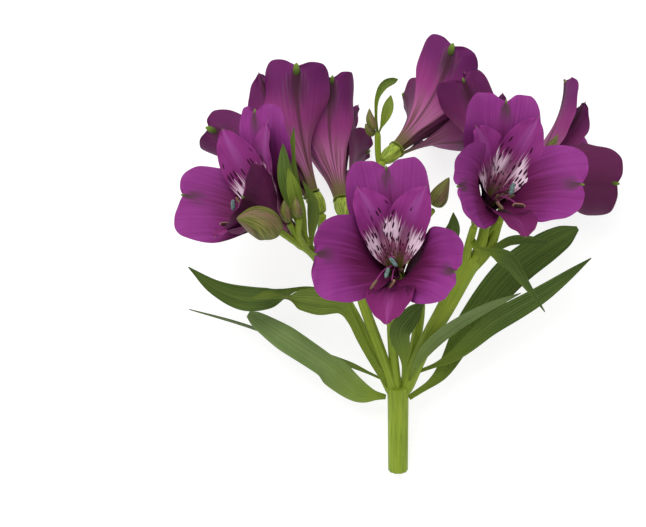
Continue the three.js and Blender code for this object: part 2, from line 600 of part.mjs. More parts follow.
const LEAVES = {
  leaf_lower_left: {
    path: [[-3.4, -62, 17], [-14.6, -59.8, 18], [-29.6, -48.1, 22], [-46.7, -36.5, 25],
      [-62.6, -26.3, 20]],
    width: 13, roll: [0, 0, 0], fold: 8, wave: 2, under: true, outline: RIPPLED_OUTLINE, rows: 10,
  },
  leaf_thin_left: {
    path: [[-2.5, -55.5, 17], [-18, -48.8, 14], [-40.4, -41.1, 11], [-60.7, -32.9, 11],
      [-88.6, -24.2, 14]],
    width: 8, roll: [40, 80, 80], fold: 12, wave: 0.4,
  },
  leaf_far_left: {
    path: [[-18.1, -27.3, 30], [-24, -20.5, 30.5], [-31.5, -16, 31.5], [-40.6, -15.4, 33],
      [-47.9, -17.8, 33.5], [-53.8, -19.7, 34], [-64.4, -19.7, 35], [-76.3, -15, 38],
      [-87.4, -6.1, 42]],
    width: 11.5, roll: [20, 20, 20], fold: 14, wave: 0.6, outline: NECKED_OUTLINE, rows: 8,
  },
  leaf_twisted_left: {
    path: [[-2.4, -57.4, 20.3], [-8, -48.4, 27.5], [-14.2, -37.3, 33], [-18.4, -28.5, 37.5],
      [-23.2, -22.4, 41], [-32, -20.8, 42.5], [-40.2, -20, 43], [-46, -19.2, 44],
      [-53.5, -17.9, 45], [-60.8, -19.6, 46]],
    width: 11.5, roll: [0, 0, 0, 0, 0, 0, 10, 60, 20, 0], fold: 12, wave: 0.5,
    outline: TWISTED_OUTLINE, rows: 9,
  },
  leaf_lower_right: {
    path: [[6.5, -62.4, 17], [19.9, -52.6, 15], [32.8, -31.1, 15], [49.9, -9.6, 17],
      [64.7, 2, 21], [78.5, 10.5, 25]],
    width: 15, roll: [0, -15, -5], fold: 12, wave: 1, outline: BLUNT_OUTLINE,
  },
  leaf_long_right: {
    path: [[7.7, -52, 22], [23.9, -45.1, 23], [40.8, -30.9, 27], [62.1, -18, 30], [83.5, -2.3, 34]],
    width: 9.5, roll: [0, 0, 0], fold: 14, wave: 0.8,
  },
  leaf_short_right: {
    path: [[6.2, -56.5, 19.8], [8.2, -50, 27.5], [13, -41.4, 33], [23.5, -32, 36],
      [38.2, -23.5, 38], [53.4, -17.1, 39]],
    width: 6.5, roll: [0, 20, 20], fold: 20, wave: 0.5, under: true,
  },
  leaf_folded_right: {
    path: [[32.5, 5, 49.3], [34.5, 1.8, 54], [40.3, 0.6, 56.5], [47.6, -2.3, 58],
      [53.8, -11.5, 60], [62.1, -24.8, 60]],
    width: 9.5, roll: [0, 30, 30], fold: 38, wave: 0.5, outline: FOLDED_OUTLINE,
  },
  leaf_small_right: {
    path: [[34.6, 0.6, 43.2], [39, 0.2, 46], [48.4, 4.9, 45.5], [56.8, 5.3, 45], [64.9, 4, 43]],
    width: 4.5, roll: [0, 0], fold: 25, wave: 0.4,
  },
  leaf_centre: {
    path: [[3.7, -54, 30], [4, -43.5, 35], [2.2, -33.7, 39], [7.4, -26.2, 36], [12.7, -21.3, 31]],
    width: 9.5, roll: [0, 0, 30], fold: 12, wave: 0.8,
  },
  leaf_behind_centre: {
    path: [[22.2, -22.2, 36], [19, -12, 39.5], [20.3, -2, 41], [22.5, 5, 41.5],
      [24.6, 10.5, 40.5], [24.8, 17, 38]],
    width: 8, roll: [0, 0], fold: 12, wave: 0.4,
  },
  bract_left_tall: {
    path: [[-36.2, 0.4, 51.4], [-38.6, 9, 55], [-40.9, 19.8, 58.5], [-43.8, 37.6, 63.5],
      [-42.5, 52.1, 65.5]],
    width: 5.5, roll: [0, 20], fold: 20, wave: 0.3,
  },
  bract_left_broad: {
    path: [[-38.6, 2.7, 57], [-42.7, 19.7, 63.5], [-46, 32.1, 69.5], [-47, 45, 72]],
    width: 7.5, roll: [0, -10], fold: 20, wave: 0.3,
  },
  bract_left_low: {
    path: [[-36.2, 2.7, 62], [-39.5, 15.4, 69], [-42.9, 25.6, 75.5], [-44.8, 34.8, 79]],
    width: 6.5, roll: [0, 20], fold: 24, wave: 0.3,
  },
  bract_left_long: {
    path: [[-34.6, -1.6, 47.8], [-35.4, 6.9, 53], [-35, 15.6, 58.5], [-35.8, 22.5, 63],
      [-38.8, 29.5, 67]],
    width: 6, roll: [30, 30], fold: 24, wave: 0.3,
  },
  bract_top_curled: {
    path: [[-7.5, 50, 45.8], [-8.2, 57.5, 46.5], [-7.6, 65.5, 48.5], [-4.4, 70.8, 50],
      [1, 72.8, 50]],
    width: 4.2, roll: [20, 20], fold: 20, wave: 0.3, outline: TOPPED_OUTLINE,
  },
  bract_top_light: {
    path: [[-7, 50.2, 47], [-3.6, 59, 50], [-1.9, 66.1, 50]],
    width: 5, roll: [0, 0], fold: 20, wave: 0.3,
  },
};

const BUDS = {
  bud_left_large: { path: [[-49.4, 9.2, 75], [-57.9, 13, 84], [-65.6, 13.7, 91]], radius: 6.7, sides: 10 },
  bud_left_small: { path: [[-44.5, 12.5, 71], [-46, 17.5, 74], [-46.6, 21.5, 75]], radius: 2.4 },
  bud_left_upper: { path: [[-40.2, 14.5, 75.5], [-41.3, 18.5, 78.3], [-41.8, 22.8, 79.5]], radius: 2.2 },
  bud_top_pale: { path: [[-8.3, 51.9, 47.8], [-10.5, 56, 49.8], [-11, 60.5, 50.3]], radius: 2.1 },
  bud_top_dark: { path: [[-8.4, 50, 44], [-11, 51.5, 44], [-12.6, 54.5, 44]], radius: 1.9 },
  bud_right: { path: [[16.5, 19.2, 52], [19, 25, 53.5], [22.4, 31.5, 54]], radius: 3.9 },
  bud_far_right: { path: [[63, 39.5, 51], [65.5, 44.5, 52], [68, 49.5, 52]], radius: 2.4 },
};

// Short stalks of the buds, from the ray that carries them.
const BUD_STALKS = [
  [[-32.6, -4, 42], [-36, 0, 51], [-43, 5, 64], [-48.9, 9, 74.4]],
  [[-38, 1.5, 56], [-42, 7.5, 65], [-44.4, 12.1, 70.5]],
  [[-37, 1, 54], [-40.5, 7.5, 66], [-40.1, 14.1, 74.9]],
  [[3.9, 7.5, 36], [-2.9, 24.4, 38], [-6.8, 39.1, 42], [-7.4, 51, 46.5]],
  [[3.9, 7.5, 36], [10.5, 11.6, 46], [16, 18.2, 51.5]],
  [[37, 5, 43], [49, 20, 48.5], [58, 32, 50.5], [62.8, 38.9, 50.9]],
];

// ---------------------------------------------------------------- assembly

function ovaryRoute(bloom) {
  const axis = vec(bloom.axis).normalize();
  const at = (distance) => vec(bloom.base).addScaledVector(axis, distance).toArray();
  return [at(-OVARY_LENGTH - SEAT_GAP), at(-SEAT_GAP)];
}

function stemSolid(grow = 0) {
  const solids = [];
  for (const { route, foot, top, sides = 6, steps = 4 } of STALKS) {
    const size = (t) => [lerp(foot[0], top[0], t), lerp(foot[1], top[1], t)];
    solids.push(stalk(route, size, { sides, steps, grow }));
  }
  for (const [name, { route, foot: thick = PEDICEL_RADIUS }] of Object.entries(PEDICELS)) {
    const [foot, top] = ovaryRoute(BLOOMS[name]);
    const slim = (t) => Array(2).fill(lerp(thick, PEDICEL_RADIUS, t));
    solids.push(stalk([...route, foot], slim, { sides: 5, steps: 3, ridge: 0, grow }));
    const middle = vec(foot).lerp(vec(top), 0.5).toArray();
    const swell = (t) => OVARY_RADIUS * (0.45 + 0.55 * Math.sin(Math.PI * Math.min(t * 0.72, 0.5)));
    solids.push(stalk([foot, middle, top], (t) => [swell(t), swell(t)],
      { sides: 6, steps: 3, ridge: 0, grow }));
  }
  for (const route of BUD_STALKS) {
    const even = [BUD_STALK_RADIUS, BUD_STALK_RADIUS];
    solids.push(stalk(route, () => even, { sides: 4, steps: 3, ridge: 0, grow }));
  }
  return join(solids);
}

// What reaches below the surface is pressed flat on it.
function pressed(solid) {
  const below = new THREE.BoxGeometry(400, 400, 40).translate(0, 0, -20);
  return solid.subtract(toSolid(below));
}

// The largest body of a solid that has been cut.
function whole(solid) {
  const bodies = solid.decompose();
  return bodies.reduce((best, next) => (next.volume() > best.volume() ? next : best));
}

const spray = new THREE.Group();
spray.name = 'alstroemeria_stem';
const clearance = stemSolid(SEAT_GAP);

function add(name, solid, material) {
  spray.add(asMesh(name, solid, material));
}

add('stem', pressed(stemSolid()), STEM_GREEN);

for (const [name, bloom] of Object.entries(BLOOMS)) {
  add(`bloom_${name}_tepals`, whole(pressed(bloomTepals(bloom)).subtract(clearance)), TEPAL_PURPLE);
  add(`bloom_${name}_stamens`, whole(bloomStamens(bloom).subtract(clearance)), STAMEN_PURPLE);
}

for (const [name, leaf] of Object.entries(LEAVES)) {
  const material = leaf.under ? LEAF_BACK_GREEN : LEAF_GREEN;
  add(name, whole(pressed(leafSolid(leaf)).subtract(clearance)), material);
}

for (const [name, bud] of Object.entries(BUDS)) {
  add(name, whole(budSolid(bud).subtract(clearance)), BUD_GREEN);
}

spray.position.copy(PLACE);

export default spray;
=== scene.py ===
"""An alstroemeria stem laid on its back: eight blooms on five rays, with leaves, bracts and buds.

The tables are in millimetres and degrees. Settings, meshes and the stage are in metres, in the
frame of the packed part: +Z is up, the surface is z = 0 and the stem points to +Y.
"""

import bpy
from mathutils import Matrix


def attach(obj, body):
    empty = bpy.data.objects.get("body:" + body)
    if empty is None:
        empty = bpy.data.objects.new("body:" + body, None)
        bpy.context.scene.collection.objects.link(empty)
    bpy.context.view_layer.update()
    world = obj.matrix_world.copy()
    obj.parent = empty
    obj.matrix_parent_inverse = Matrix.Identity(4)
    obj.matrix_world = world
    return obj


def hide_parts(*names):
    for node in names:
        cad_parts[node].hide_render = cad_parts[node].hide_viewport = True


bl_info = {
    "name": "Alstroemeria stem",
    "version": (1, 0, 0),
    "blender": (4, 5, 0),
    "location": "3D View > Sidebar > Alstroemeria",
    "description": "Builds a cut alstroemeria stem that lies on its back, with its stage",
    "category": "Add Mesh",
}

from types import SimpleNamespace

import bpy
import numpy as np
from bpy.props import FloatProperty, FloatVectorProperty, IntProperty, PointerProperty
from mathutils import Vector

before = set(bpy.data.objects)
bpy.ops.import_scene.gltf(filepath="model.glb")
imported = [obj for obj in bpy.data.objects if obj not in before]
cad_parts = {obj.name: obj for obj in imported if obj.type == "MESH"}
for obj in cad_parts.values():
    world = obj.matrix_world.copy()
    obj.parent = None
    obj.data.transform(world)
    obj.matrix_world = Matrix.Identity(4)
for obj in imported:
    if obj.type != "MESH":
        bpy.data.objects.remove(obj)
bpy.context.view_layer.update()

BODY = "root"
MILLIMETRE = 0.001

# The whole spray is moved by this much, which brings the middle of its box near the origin.
PLACE = np.array([-1.1, 2.0, 0.0])
UP = np.array([0.0, 0.0, 1.0])
# An edge that turns by more than this is shaded sharp.
SHARP_ANGLE = 55

# ---------------------------------------------------------------- dimensions of the blooms

# Chord of a tepal that is given by its lean.
LEANING_LENGTH = 48
# Radius across an outer blade, where its bloom gives none.
OPEN_CUP = 40
# Radius across an inner blade as a share of an outer one's.
INNER_CUP = 0.6
# Half the angle that a midrib bends through, where neither tepal nor bloom gives one.
OPEN_FLARE = 28
# Radius of the ring on which a tepal starts, and the ring's height over the base.
THROAT_OUTER = 3.1
THROAT_INNER = 2.4
CLAW_FOOT = 0.3
# The least half bend of a midrib and the least lean that limits it, in radians, and the least
# cosine of its lean that shapes the claw's cone.
LEAST_BEND = 0.05
LEAST_LEAN = 0.06
LEAST_CONE = 0.05
# Height of the slow waves at an edge, and the angles in radians that they turn through along a
# tepal and from its midrib to an edge.
OUTER_WAVE = 1.0
INNER_WAVE = 0.5
WAVE_ALONG = 5.2
WAVE_ACROSS = 2.4
# The same angles for the ruffles, and the step from those of one tepal to the next one's.
RUFFLE_ALONG = 31
RUFFLE_ACROSS = 3
RUFFLE_STEP = 7.0
# Depth and spread of the groove along a midrib.
GROOVE_DEPTH = 0.35
GROOVE_SPREAD = 0.9
# The share of a midrib at which a waist is, and how far it reaches.
WAIST = 0.45
WAIST_SPREAD = 0.17
# Distance of the veins at the claw as a share of their distance at the tip.
FAN_FOOT = 0.3
# Size of the point at a tip.
OUTER_POINT = 0.75
INNER_POINT = 0.42
# Thickness of an edge as a share of the midrib's.
EDGE_THICKNESS = 0.35
LEAF_EDGE_THICKNESS = 0.4
# The disc that carries the tepals, and the gap under it and over it.
DISC_RADIUS = 3.9
DISC_HEIGHT = 1.0
SEAT_GAP = 0.3
OVARY_LENGTH = 9
OVARY_RADIUS = 3.5
PEDICEL_RADIUS = 1.6
BUD_STALK_RADIUS = 1.3
# A bud's blunt tip as a share of its radius, and the power that makes it rise early.
BUD_TIP = 0.12
BUD_BLUNTNESS = 0.75
# Radius of the ring on which filaments start, and its height over the base.
STAMEN_RING = 0.95
STAMEN_START = 1.8
# Distance of a placed stamen's bow from its start, as a share of its chord.
STAMEN_BOW = 0.55
# How far the others spread, and how far they sag for their lean, as shares of their reach.
STAMEN_SPREAD = 0.08
STAMEN_SAG = 0.8
# The foot that carries them.
STAMEN_FOOT_RADIUS = 1.45
STAMEN_FOOT_HEIGHT = 1
# The share of its path at which a stamen without a placed anther, or a style, ends.
UNPLACED_END = 0.86
# Half width and half depth at the foot and at the end.
FILAMENT_RADII = ([0.42, 0.42], [0.28, 0.28])
STIGMA_RADII = ([0.3, 0.3], [0.2, 0.2])
# Size of the anthers where a bloom gives none, and length of an anther of size 1.
SMALL_ANTHER = 0.75
ANTHER_LENGTH = 4.3333
# Depth of the slit along each side of an anther, as a share of its radius.
SLIT = 0.22
# Thickness of an olive anther as a share of the others'.
SLIM = 0.7
# Rounds the fold along a leaf's midrib.
FOLD_SOFTNESS = 0.02
# The angles in radians that a leaf's waves turn through along it and from its midrib to an edge.
LEAF_WAVE_ALONG = 9
LEAF_WAVE_ACROSS = 1.6
# The lowest that any point lies over the surface.
SURFACE_CLEARANCE = 0.02
# The shares of a tepal's length between which it opens from the claw's cone to its own curve.
SPREAD = (0.3, 0.8)
OPEN_SPREAD = (0.12, 0.62)
# The shares between which its edges slide against one another.
SHEARED = (0.3, 0.8)

# What a part of a piece is, for its finish.
OUTER, UPPER_INNER, LOWER_INNER, OUTER_TIP, INNER_TIP, DISC = range(6)
FILAMENT, DUSTY, DARK_RIMMED, OLIVE = range(4)
STALK, OVARY = range(2)

# Blade outlines as fractions: [half width, reach of the edge, reach of the midrib].
OUTER_OUTLINE = [
    [0.14, 0.0, 0.0], [0.22, 0.18, 0.18], [0.46, 0.34, 0.34], [0.8, 0.52, 0.5], [1.0, 0.7, 0.65],
    [0.95, 0.88, 0.79], [0.66, 1.0, 0.9], [0.32, 1.02, 0.955], [0.06, 0.99, 0.985],
]
INNER_OUTLINE = [
    [0.18, 0.0, 0.0], [0.26, 0.19, 0.19], [0.54, 0.37, 0.37], [0.94, 0.56, 0.55],
    [0.96, 0.73, 0.7], [0.6, 0.89, 0.86], [0.26, 0.97, 0.95], [0.05, 1.0, 1.0],
]
# The blades of wide-open blooms, which have broader claws.
OPEN_OUTER_OUTLINE = [
    [0.18, 0.0, 0.0], [0.5, 0.26, 0.26], [0.84, 0.48, 0.47], [1.0, 0.69, 0.64],
    [0.95, 0.87, 0.79], [0.66, 1.0, 0.9], [0.32, 1.02, 0.955], [0.06, 0.99, 0.985],
]
OPEN_INNER_OUTLINE = [
    [0.22, 0.0, 0.0], [0.54, 0.19, 0.19], [0.88, 0.37, 0.37], [1.0, 0.56, 0.55],
    [0.94, 0.73, 0.7], [0.6, 0.89, 0.86], [0.26, 0.97, 0.95], [0.05, 1.0, 1.0],
]
# Leaf outlines as fractions: [half width, reach].
LEAF_OUTLINE = [
    [0.16, 0.0], [0.2, 0.12], [0.55, 0.27], [0.9, 0.43], [1.0, 0.58], [0.84, 0.74], [0.5, 0.88],
    [0.05, 1.0],
]
BLUNT_OUTLINE = [
    [0.16, 0.0], [0.2, 0.1], [0.5, 0.25], [0.85, 0.42], [1.0, 0.6], [0.93, 0.77], [0.7, 0.91],
    [0.14, 1.0],
]
TWISTED_OUTLINE = [
    [0.22, 0.0], [0.26, 0.12], [0.3, 0.25], [0.36, 0.36], [0.72, 0.46], [1.0, 0.56], [0.8, 0.66],
    [0.3, 0.77], [0.34, 0.88], [0.06, 1.0],
]
RIPPLED_OUTLINE = [
    [0.16, 0.0], [0.3, 0.09], [0.6, 0.19], [0.85, 0.31], [1.0, 0.43], [0.8, 0.51], [0.82, 0.6],
    [0.86, 0.73], [0.7, 0.86], [0.5, 0.95], [0.2, 1.0],
]
NECKED_OUTLINE = [
    [0.2, 0.0], [0.2, 0.15], [0.16, 0.3], [0.16, 0.38], [0.45, 0.5], [0.82, 0.62], [1.0, 0.74],
    [0.62, 0.88], [0.04, 1.0],
]
FOLDED_OUTLINE = [
    [0.3, 0.0], [0.42, 0.2], [0.46, 0.38], [0.9, 0.5], [1.0, 0.6], [0.72, 0.76], [0.3, 0.91],
    [0.05, 1.0],
]
TOPPED_OUTLINE = [
    [0.3, 0.0], [0.35, 0.3], [0.55, 0.5], [0.9, 0.68], [1.0, 0.8], [0.75, 0.92], [0.1, 1.0],
]

# A bloom sits on its base, faces along its axis, and has its tepal 0 on the side named first. The
# other tepals follow round the axis, outer ones at even numbers, and 3 is the lower inner one.
# A tepal is given by its chord from the base to its tip, or by its lean from the axis. It may also
# have these values:
#   wide: share of the full width               roll: turn of the blade about its midrib
#   skew: part by which one side is wider       waist: part of the width lost below the blade
#   shear: how far its edges slide apart        bow: sideways bend of its midrib
#   notch: share of the outline's own notch     flare: half the angle that its midrib bends through
#   point: size of the point at its tip         dark: part of its colour that is painted shade
#   open: true for the broad claw of an open bloom
# Placed anthers have their place from the base, the way they point, and their kind.
BLOOMS = {
    "a": dict(
        base=[-41.8, 7, 50], axis=[-0.64, 0.6, 0.48], first=[0.2, 1, 0.3], open=True,
        stamen_lean=12, stamen_length=26, anther=1.1,
        anthers=[
            ([-29, 4.7, 22], [1, 0, 0], DARK_RIMMED), ([-13.6, 9, 13.6], [-1, 0.5, 0.6], OLIVE),
            ([-14, 12, 14], [-0.5, 1, 0.3], OLIVE), ([-25.8, 12.5, 24], [0, 1, 0.1], DUSTY),
            ([-23.6, 14, 15.2], [-0.6, 1, 0], OLIVE), ([-12.5, 8, 10.3], [-0.6, 0.4, 0.5], OLIVE),
        ],
        tepals={
            0: dict(to=[-18.3, 50.5, 8.5], wide=0.76, roll=20, skew=-0.4),
            1: dict(to=[-30.6, 42.5, 9.8], roll=12),
            2: dict(to=[-46.1, 17.9, 2], wide=1.02, roll=-25, skew=0.2),
            3: dict(to=[-32.1, 1.2, 27], wide=0.9),
            4: dict(to=[-22.5, 16.9, 35.3], roll=24, wide=0.92, dark=0.9),
            5: dict(to=[-13, 45.6, 18.3], wide=1.05),
        },
    ),
    "b1": dict(
        base=[-35.1, 24.3, 44], axis=[-0.5, 0.83, -0.25], first=[0.5, 0.6, 0.6],
        wide=0.88, cup=15, flare=15, stamen_lean=3, stamen_length=18,
        tepals={
            0: dict(to=[-8, 53, 6], wide=1.18, roll=-50, point=2.4), 1: dict(lean=14),
            2: dict(to=[-28.5, 25.5, -41]), 3: dict(lean=18),
            4: dict(to=[-41.8, 29.8, -5.9], roll=45, wide=1.05, skew=-0.3, dark=0.5, point=2.2),
            5: dict(to=[-23.2, 50, -4], wide=1.3, dark=0.3),
        },
    ),
    "b2": dict(
        base=[-22.3, 21.8, 38], axis=[-0.1, 0.78, -0.62], first=[0, 0.6, 0.8],
        wide=0.88, cup=14, flare=15, stamen_lean=3, stamen_length=17,
        tepals={
            0: dict(to=[-4.2, 51, -3], roll=10, wide=1.08, waist=0.25, bow=-3, point=1.6),
            1: dict(lean=13, wide=0.8),
            2: dict(to=[9.4, 23.2, -30.7], roll=-30, wide=0.9, flare=25, dark=0.8, point=1.6),
            3: dict(lean=13, wide=0.8), 4: dict(to=[-19.5, 31, -22], wide=1.2, open=True),
            5: dict(to=[-10, 45, -13], wide=0.75),
        },
    ),
    "c": dict(
        base=[0.4, -10.7, 62], axis=[-0.1, 0.57, 0.815], first=[0, 1, 0], open=True,
        stamen_lean=30, stamen_length=24, anther=1.2,
        anthers=[
            ([1.5, 3.2, 14.3], [0.2, 0.3, 1], OLIVE), ([-2, 6.7, 22], [0.62, -0.78, 0.1], DUSTY),
            ([-0.6, 7.6, 12.4], [-0.3, 0.6, 1], OLIVE), ([-4.6, 2.2, 23], [0.3, 0.9, -0.5], DUSTY),
            ([-10.2, -2.5, 29], [0.57, 0.82, 0], OLIVE),
            ([-2.8, -2.3, 26.7], [0.5, 0.7, 0.6], DARK_RIMMED),
        ],
        tepals={
            0: dict(to=[-4.7, 43.9, 11.8], wide=1.06, notch=1.4),
            1: dict(to=[-15.2, 35.5, 20.3], roll=10, wide=1.06),
            2: dict(to=[-31.8, 10.5, 30.7], wide=1.14, roll=-30, skew=0.12, shear=0.09),
            3: dict(to=[-4.9, -16.4, 39], wide=1.08),
            4: dict(to=[21, 3.5, 33.8], roll=28), 5: dict(to=[9.7, 35.8, 24.9], roll=10, wide=1.0),
        },
    ),
    "d": dict(
        base=[0.3, 43.3, 44], axis=[0.6, 0.525, -0.6], first=[0, 0.6, 0.8], wide=0.9,
        cup=16, flare=15, stamen_lean=3, stamen_length=17,
        tepals={
            0: dict(to=[23.5, 42, 2], roll=18, waist=0.22, bow=2.5, point=2.4), 1: dict(lean=19),
            2: dict(to=[38, 5.5, -29], roll=-20, wide=1.2), 3: dict(lean=15),
            4: dict(to=[6.1, 24.4, -32], roll=20, wide=0.8, flare=25, dark=0.8, point=1.4),
            5: dict(lean=20, wide=0.8),
        },
    ),
    "e": dict(
        base=[36.3, 16.9, 60], axis=[0.346, 0.589, 0.73], first=[-0.3, 1, 0], open=True,
        stamen_lean=25, stamen_length=26, anther=1.25,
        anthers=[
            ([10.5, 5.7, 16.4], [0.6, 0.4, 0.7], OLIVE), ([9.4, 8.8, 14.7], [0.3, 0.6, 0.8], OLIVE),
            ([10.7, 9, 24], [0.25, 1, 0.1], DUSTY), ([13.4, 2.2, 26], [1, -0.1, 0], DARK_RIMMED),
            ([5, 5.6, 13.5], [0.2, 0.6, 0.8], OLIVE), ([5.6, 2.2, 25], [0.5, -0.6, 0.6], OLIVE),
        ],
        tepals={
            0: dict(to=[9.4, 43.5, 15.7], wide=1.02, roll=-10, notch=1.4, skew=0.12),
            1: dict(to=[-2, 33, 27.6], wide=1.15, roll=-10),
            2: dict(to=[-10.5, 10.3, 44.1], wide=1.08, roll=-38),
            3: dict(to=[15, -8.6, 38.3], dark=0.45),
            4: dict(to=[37.4, 11.9, 24.4], roll=28), 5: dict(to=[21, 36.9, 17.6], roll=8),
        },
    ),
    "f": dict(
        base=[53.7, 28.2, 40], axis=[0.72, 0.45, -0.53], first=[-0.3, 0.9, 0.3],
        wide=0.88, cup=18, flare=16, stamen_lean=3, stamen_length=16,
        tepals={
            0: dict(to=[20.5, 42.7, -13], wide=0.75, roll=-30, bow=2.5),
            1: dict(to=[28.5, 33.7, -17], dark=0.5),
            2: dict(to=[39.6, 3, -11.2], wide=1.3, roll=-40, skew=0.15, dark=1, point=1.5),
            3: dict(to=[18, 8, -41], wide=0.85), 4: dict(to=[34.5, 17, -31]),
            5: dict(lean=13, wide=0.85),
        },
    ),
    "i": dict(
        base=[40.6, 28, 48], axis=[0.08, 0.98, -0.19], first=[-0.6, 0, 0.4], wide=0.7,
        cup=16, flare=14, stamen_lean=2, stamen_length=14,
        tepals={
            0: dict(to=[-11, 43.9, 10.5], roll=35, wide=1.1, skew=-0.2, dark=0.4),
            1: dict(to=[-9.6, 46.9, 1.6], wide=0.9),
            2: dict(to=[4, 34, 13], wide=0.8), 3: dict(to=[4, 38, -2], wide=0.8),
            4: dict(to=[2, 33, -16], wide=0.8), 5: dict(to=[-4, 49.5, -6.9], wide=0.6),
        },
    ),
}

# Each stamen's part of the full length and of the full lean. The style comes first.
STAMENS = [
    (1.0, 0.6), (0.82, 1.0), (0.95, 0.85), (0.76, 0.8), (0.9, 0.7), (0.84, 0.9), (0.98, 0.95),
]

# ---------------------------------------------------------------- leaves, bracts and buds

LEAVES = {
    "leaf_lower_left": dict(
        path=[[-3.4, -62, 17], [-14.6, -59.8, 18], [-29.6, -48.1, 22], [-46.7, -36.5, 25],
              [-62.6, -26.3, 20]],
        width=13, roll=[0, 0, 0], fold=8, wave=2.0, under=True, outline=RIPPLED_OUTLINE,
    ),
    "leaf_thin_left": dict(
        path=[[-2.5, -55.5, 17], [-18, -48.8, 14], [-40.4, -41.1, 11], [-60.7, -32.9, 11],
              [-88.6, -24.2, 14]],
        width=8, roll=[40, 80, 80], fold=12, wave=0.4,
    ),
    "leaf_far_left": dict(
        path=[[-18.1, -27.3, 30], [-24, -20.5, 30.5], [-31.5, -16, 31.5], [-40.6, -15.4, 33],
              [-47.9, -17.8, 33.5], [-53.8, -19.7, 34], [-64.4, -19.7, 35], [-76.3, -15, 38],
              [-87.4, -6.1, 42]],
        width=11.5, roll=[20, 20, 20], fold=14, wave=0.6, outline=NECKED_OUTLINE,
    ),
    "leaf_twisted_left": dict(
        path=[[-2.4, -57.4, 20.3], [-8, -48.4, 27.5], [-14.2, -37.3, 33], [-18.4, -28.5, 37.5],
              [-23.2, -22.4, 41], [-32, -20.8, 42.5], [-40.2, -20, 43], [-46, -19.2, 44],
              [-53.5, -17.9, 45], [-60.8, -19.6, 46]],
        width=11.5, roll=[0, 0, 0, 0, 0, 0, 10, 60, 20, 0], fold=12, wave=0.5,
        outline=TWISTED_OUTLINE, light=0.6,
    ),
    "leaf_lower_right": dict(
        path=[[6.5, -62.4, 17], [19.9, -52.6, 15], [32.8, -31.1, 15], [49.9, -9.6, 17],
              [64.7, 2, 21], [78.5, 10.5, 25]],
        width=15, roll=[0, -15, -5], fold=12, wave=1.0, outline=BLUNT_OUTLINE,
    ),
    "leaf_long_right": dict(
        path=[[7.7, -52, 22], [23.9, -45.1, 23], [40.8, -30.9, 27], [62.1, -18, 30],
              [83.5, -2.3, 34]],
        width=9.5, roll=[0, 0, 0], fold=14, wave=0.8,
    ),
    "leaf_short_right": dict(
        path=[[6.2, -56.5, 19.8], [8.2, -50, 27.5], [13, -41.4, 33], [23.5, -32, 36],
              [38.2, -23.5, 38], [53.4, -17.1, 39]],
        width=6.5, roll=[0, 20, 20], fold=20, wave=0.5, under=True,
    ),
    "leaf_folded_right": dict(
        path=[[32.5, 5, 49.3], [34.5, 1.8, 54], [40.3, 0.6, 56.5], [47.6, -2.3, 58],
              [53.8, -11.5, 60], [62.1, -24.8, 60]],
        width=9.5, roll=[0, 30, 30], fold=38, wave=0.5, outline=FOLDED_OUTLINE,
    ),
    "leaf_small_right": dict(
        path=[[34.6, 0.6, 43.2], [39, 0.2, 46], [48.4, 4.9, 45.5], [56.8, 5.3, 45], [64.9, 4, 43]],
        width=4.5, roll=[0, 0], fold=25, wave=0.4,
    ),
    "leaf_centre": dict(
        path=[[3.7, -54, 30], [4, -43.5, 35], [2.2, -33.7, 39], [7.4, -26.2, 36],
              [12.7, -21.3, 31]],
        width=9.5, roll=[0, 0, 30], fold=12, wave=0.8,
    ),
    "leaf_behind_centre": dict(
        path=[[22.2, -22.2, 36], [19, -12, 39.5], [20.3, -2, 41], [22.5, 5, 41.5],
              [24.6, 10.5, 40.5], [24.8, 17, 38]],
        width=8, roll=[0, 0], fold=12, wave=0.4,
    ),
    "bract_left_tall": dict(
        path=[[-36.2, 0.4, 51.4], [-38.6, 9, 55], [-40.9, 19.8, 58.5], [-43.8, 37.6, 63.5],
              [-42.5, 52.1, 65.5]],
        width=5.5, roll=[0, 20], fold=20, wave=0.3, light=0.5,
    ),
    "bract_left_broad": dict(
        path=[[-38.6, 2.7, 57], [-42.7, 19.7, 63.5], [-46, 32.1, 69.5], [-47, 45, 72]],
        width=7.5, roll=[0, -10], fold=20, wave=0.3,
    ),
    "bract_left_low": dict(
        path=[[-36.2, 2.7, 62], [-39.5, 15.4, 69], [-42.9, 25.6, 75.5], [-44.8, 34.8, 79]],
        width=6.5, roll=[0, 20], fold=24, wave=0.3, light=1.0,
    ),
    "bract_left_long": dict(
        path=[[-34.6, -1.6, 47.8], [-35.4, 6.9, 53], [-35, 15.6, 58.5], [-35.8, 22.5, 63],
              [-38.8, 29.5, 67]],
        width=6, roll=[30, 30], fold=24, wave=0.3, light=0.3,
    ),
    "bract_top_curled": dict(
        path=[[-7.5, 50, 45.8], [-8.2, 57.5, 46.5], [-7.6, 65.5, 48.5], [-4.4, 70.8, 50],
              [1, 72.8, 50]],
        width=4.2, roll=[20, 20], fold=20, wave=0.3, light=0.4, outline=TOPPED_OUTLINE,
    ),
    "bract_top_light": dict(
        path=[[-7, 50.2, 47], [-3.6, 59, 50], [-1.9, 66.1, 50]],
        width=5, roll=[0, 0], fold=20, wave=0.3, light=1.0,
    ),
}

